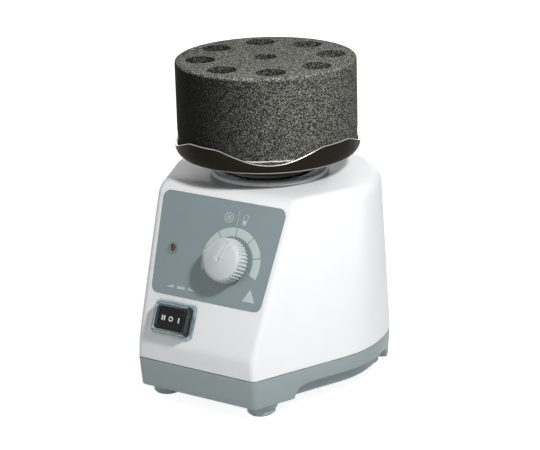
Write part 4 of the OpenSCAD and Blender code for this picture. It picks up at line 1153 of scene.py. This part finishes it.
class MIXER_OT_stage(bpy.types.Operator):
    """Set up the camera, the lamps and the plain pale floor"""
    bl_idname = "mixer.stage"
    bl_label = "Stage"

    def execute(self, context):
        stage = context.scene.mixer_stage
        self.add_camera(context)
        head, body = Vector((0, AXIS_Y, 0.12)), Vector((0, 0, 0.09))
        self.add_lamp("key_lamp", stage.key_power, 0.045, Vector((0.681, -0.403, 0.611)), 0.45, head)
        self.add_lamp("fill_lamp", stage.fill_power, 0.5, Vector((-0.35, -0.92, 0.16)), 0.9, body)
        self.add_lamp("back_lamp", stage.back_power, 0.6, Vector((-0.45, 0.88, 0.05)), 1.0, body)
        self.add_sky(context, stage.sky)
        self.add_floor(context, stage.floor_glow)
        context.scene.view_settings.view_transform = "Standard"
        return {"FINISHED"}

    @staticmethod
    def add_camera(context):
        """Camera in front, to the right and above, turned slightly about its own line of sight."""
        position = Vector((0.5639, -0.8361, 0.4184))
        forward = Vector((-0.5261, 0.790, -0.315)).normalized()
        roll = math.radians(1.58)
        data = bpy.data.cameras.new("camera")
        data.lens = 132.617
        data.sensor_width = 36
        data.clip_end = 50
        camera = bpy.data.objects.new("camera", data)
        context.scene.collection.objects.link(camera)
        level = forward.cross(Vector((0, 0, 1))).normalized()
        upright = level.cross(forward)
        right = level * math.cos(roll) - upright * math.sin(roll)
        up = upright * math.cos(roll) + level * math.sin(roll)
        turn = Matrix((right, up, -forward)).transposed()
        camera.matrix_world = Matrix.Translation(position) @ turn.to_4x4()
        context.scene.camera = camera

    @staticmethod
    def add_lamp(name, power, size, direction, distance, target):
        """Square lamp that faces a target from a direction."""
        data = bpy.data.lights.new(name, "AREA")
        data.size = size
        data.energy = power
        lamp = bpy.data.objects.new(name, data)
        bpy.context.scene.collection.objects.link(lamp)
        toward = direction.normalized()
        lamp.location = target + toward * distance
        lamp.rotation_euler = toward.to_track_quat("Z", "Y").to_euler()

    @staticmethod
    def seen_directly(tree):
        """Socket that is 1 for what the camera, a gloss or a clear part shows of the background."""
        path = add(tree, "ShaderNodeLightPath").outputs
        either = number(tree, "MAXIMUM", path["Is Camera Ray"], path["Is Glossy Ray"])
        return number(tree, "MAXIMUM", either, path["Is Transmission Ray"])

    def add_sky(self, context, strength):
        """White background that lights the scene only with the given strength."""
        world = bpy.data.worlds.new("studio")
        context.scene.world = world
        world.use_nodes = True
        tree = world.node_tree
        background = tree.nodes["Background"]
        background.inputs["Color"].default_value = (1, 1, 1, 1)
        tree.links.new(blend(tree, self.seen_directly(tree), strength, 1.0), background.inputs["Strength"])

    def add_floor(self, context, glow_strength):
        """Pale floor that takes the object's shadow, and glows only where it is seen directly."""
        half_width = 6
        mesh = bpy.data.meshes.new("floor")
        corners = [(half_width * x, half_width * y, 0) for x, y in ((-1, -1), (1, -1), (1, 1), (-1, 1))]
        mesh.from_pydata(corners, [], [(0, 1, 2, 3)])
        floor = bpy.data.objects.new("floor", mesh)
        context.scene.collection.objects.link(floor)
        material = bpy.data.materials.new("floor_white")
        material.use_nodes = True
        tree = material.node_tree
        shader = tree.nodes["Principled BSDF"]
        shader.inputs["Base Color"].default_value = (0.8, 0.8, 0.8, 1)
        shader.inputs["Roughness"].default_value = 0.9
        shader.inputs["Specular IOR Level"].default_value = 0.0
        glow = add(tree, "ShaderNodeEmission", {"Color": (1, 1, 1, 1), "Strength": glow_strength})
        both = add(tree, "ShaderNodeAddShader", {0: shader.outputs[0], 1: glow.outputs[0]})
        mix = add(tree, "ShaderNodeMixShader", {0: self.seen_directly(tree), 1: shader.outputs[0],
                                                2: both.outputs[0]})
        tree.links.new(mix.outputs[0], tree.nodes["Material Output"].inputs["Surface"])
        mesh.materials.append(material)


# ---- The add-on ----

OPERATORS = (
    MIXER_OT_stage,
    MIXER_OT_finishes,
    MIXER_OT_housing,
    MIXER_OT_tray,
    MIXER_OT_collar,
    MIXER_OT_plate,
    MIXER_OT_foam,
    MIXER_OT_knob,
    MIXER_OT_panel_print,
    MIXER_OT_switch,
)
SETTINGS = {
    "mixer_casing": CasingSettings,
    "mixer_head": HeadSettings,
    "mixer_control": ControlSettings,
    "mixer_stage": StageSettings,
}


class MIXER_PT_panel(bpy.types.Panel):
    """Lists the pieces of the mixer and their settings"""
    bl_idname = "MIXER_PT_panel"
    bl_label = "Vortex mixer"
    bl_space_type = "VIEW_3D"
    bl_region_type = "UI"
    bl_category = "Vortex mixer"

    def draw(self, context):
        for operator in OPERATORS:
            self.layout.operator(operator.bl_idname)
        for name, group in SETTINGS.items():
            box = self.layout.box()
            for key in group.__annotations__:
                box.prop(getattr(context.scene, name), key)


def register():
    for group in SETTINGS.values():
        bpy.utils.register_class(group)
    for name, group in SETTINGS.items():
        setattr(bpy.types.Scene, name, PointerProperty(type=group))
    for operator in OPERATORS:
        bpy.utils.register_class(operator)
    bpy.utils.register_class(MIXER_PT_panel)


def unregister():
    bpy.utils.unregister_class(MIXER_PT_panel)
    for operator in reversed(OPERATORS):
        bpy.utils.unregister_class(operator)
    for name, group in SETTINGS.items():
        delattr(bpy.types.Scene, name)
        bpy.utils.unregister_class(group)


def main():
    """Makes every piece in order."""
    register()
    bpy.ops.mixer.stage()
    bpy.ops.mixer.finishes()
    bpy.ops.mixer.housing()
    bpy.ops.mixer.tray()
    bpy.ops.mixer.collar()
    bpy.ops.mixer.plate()
    bpy.ops.mixer.foam()
    bpy.ops.mixer.knob()
    bpy.ops.mixer.panel_print()
    bpy.ops.mixer.switch()


if __name__ == "__main__":
    main()
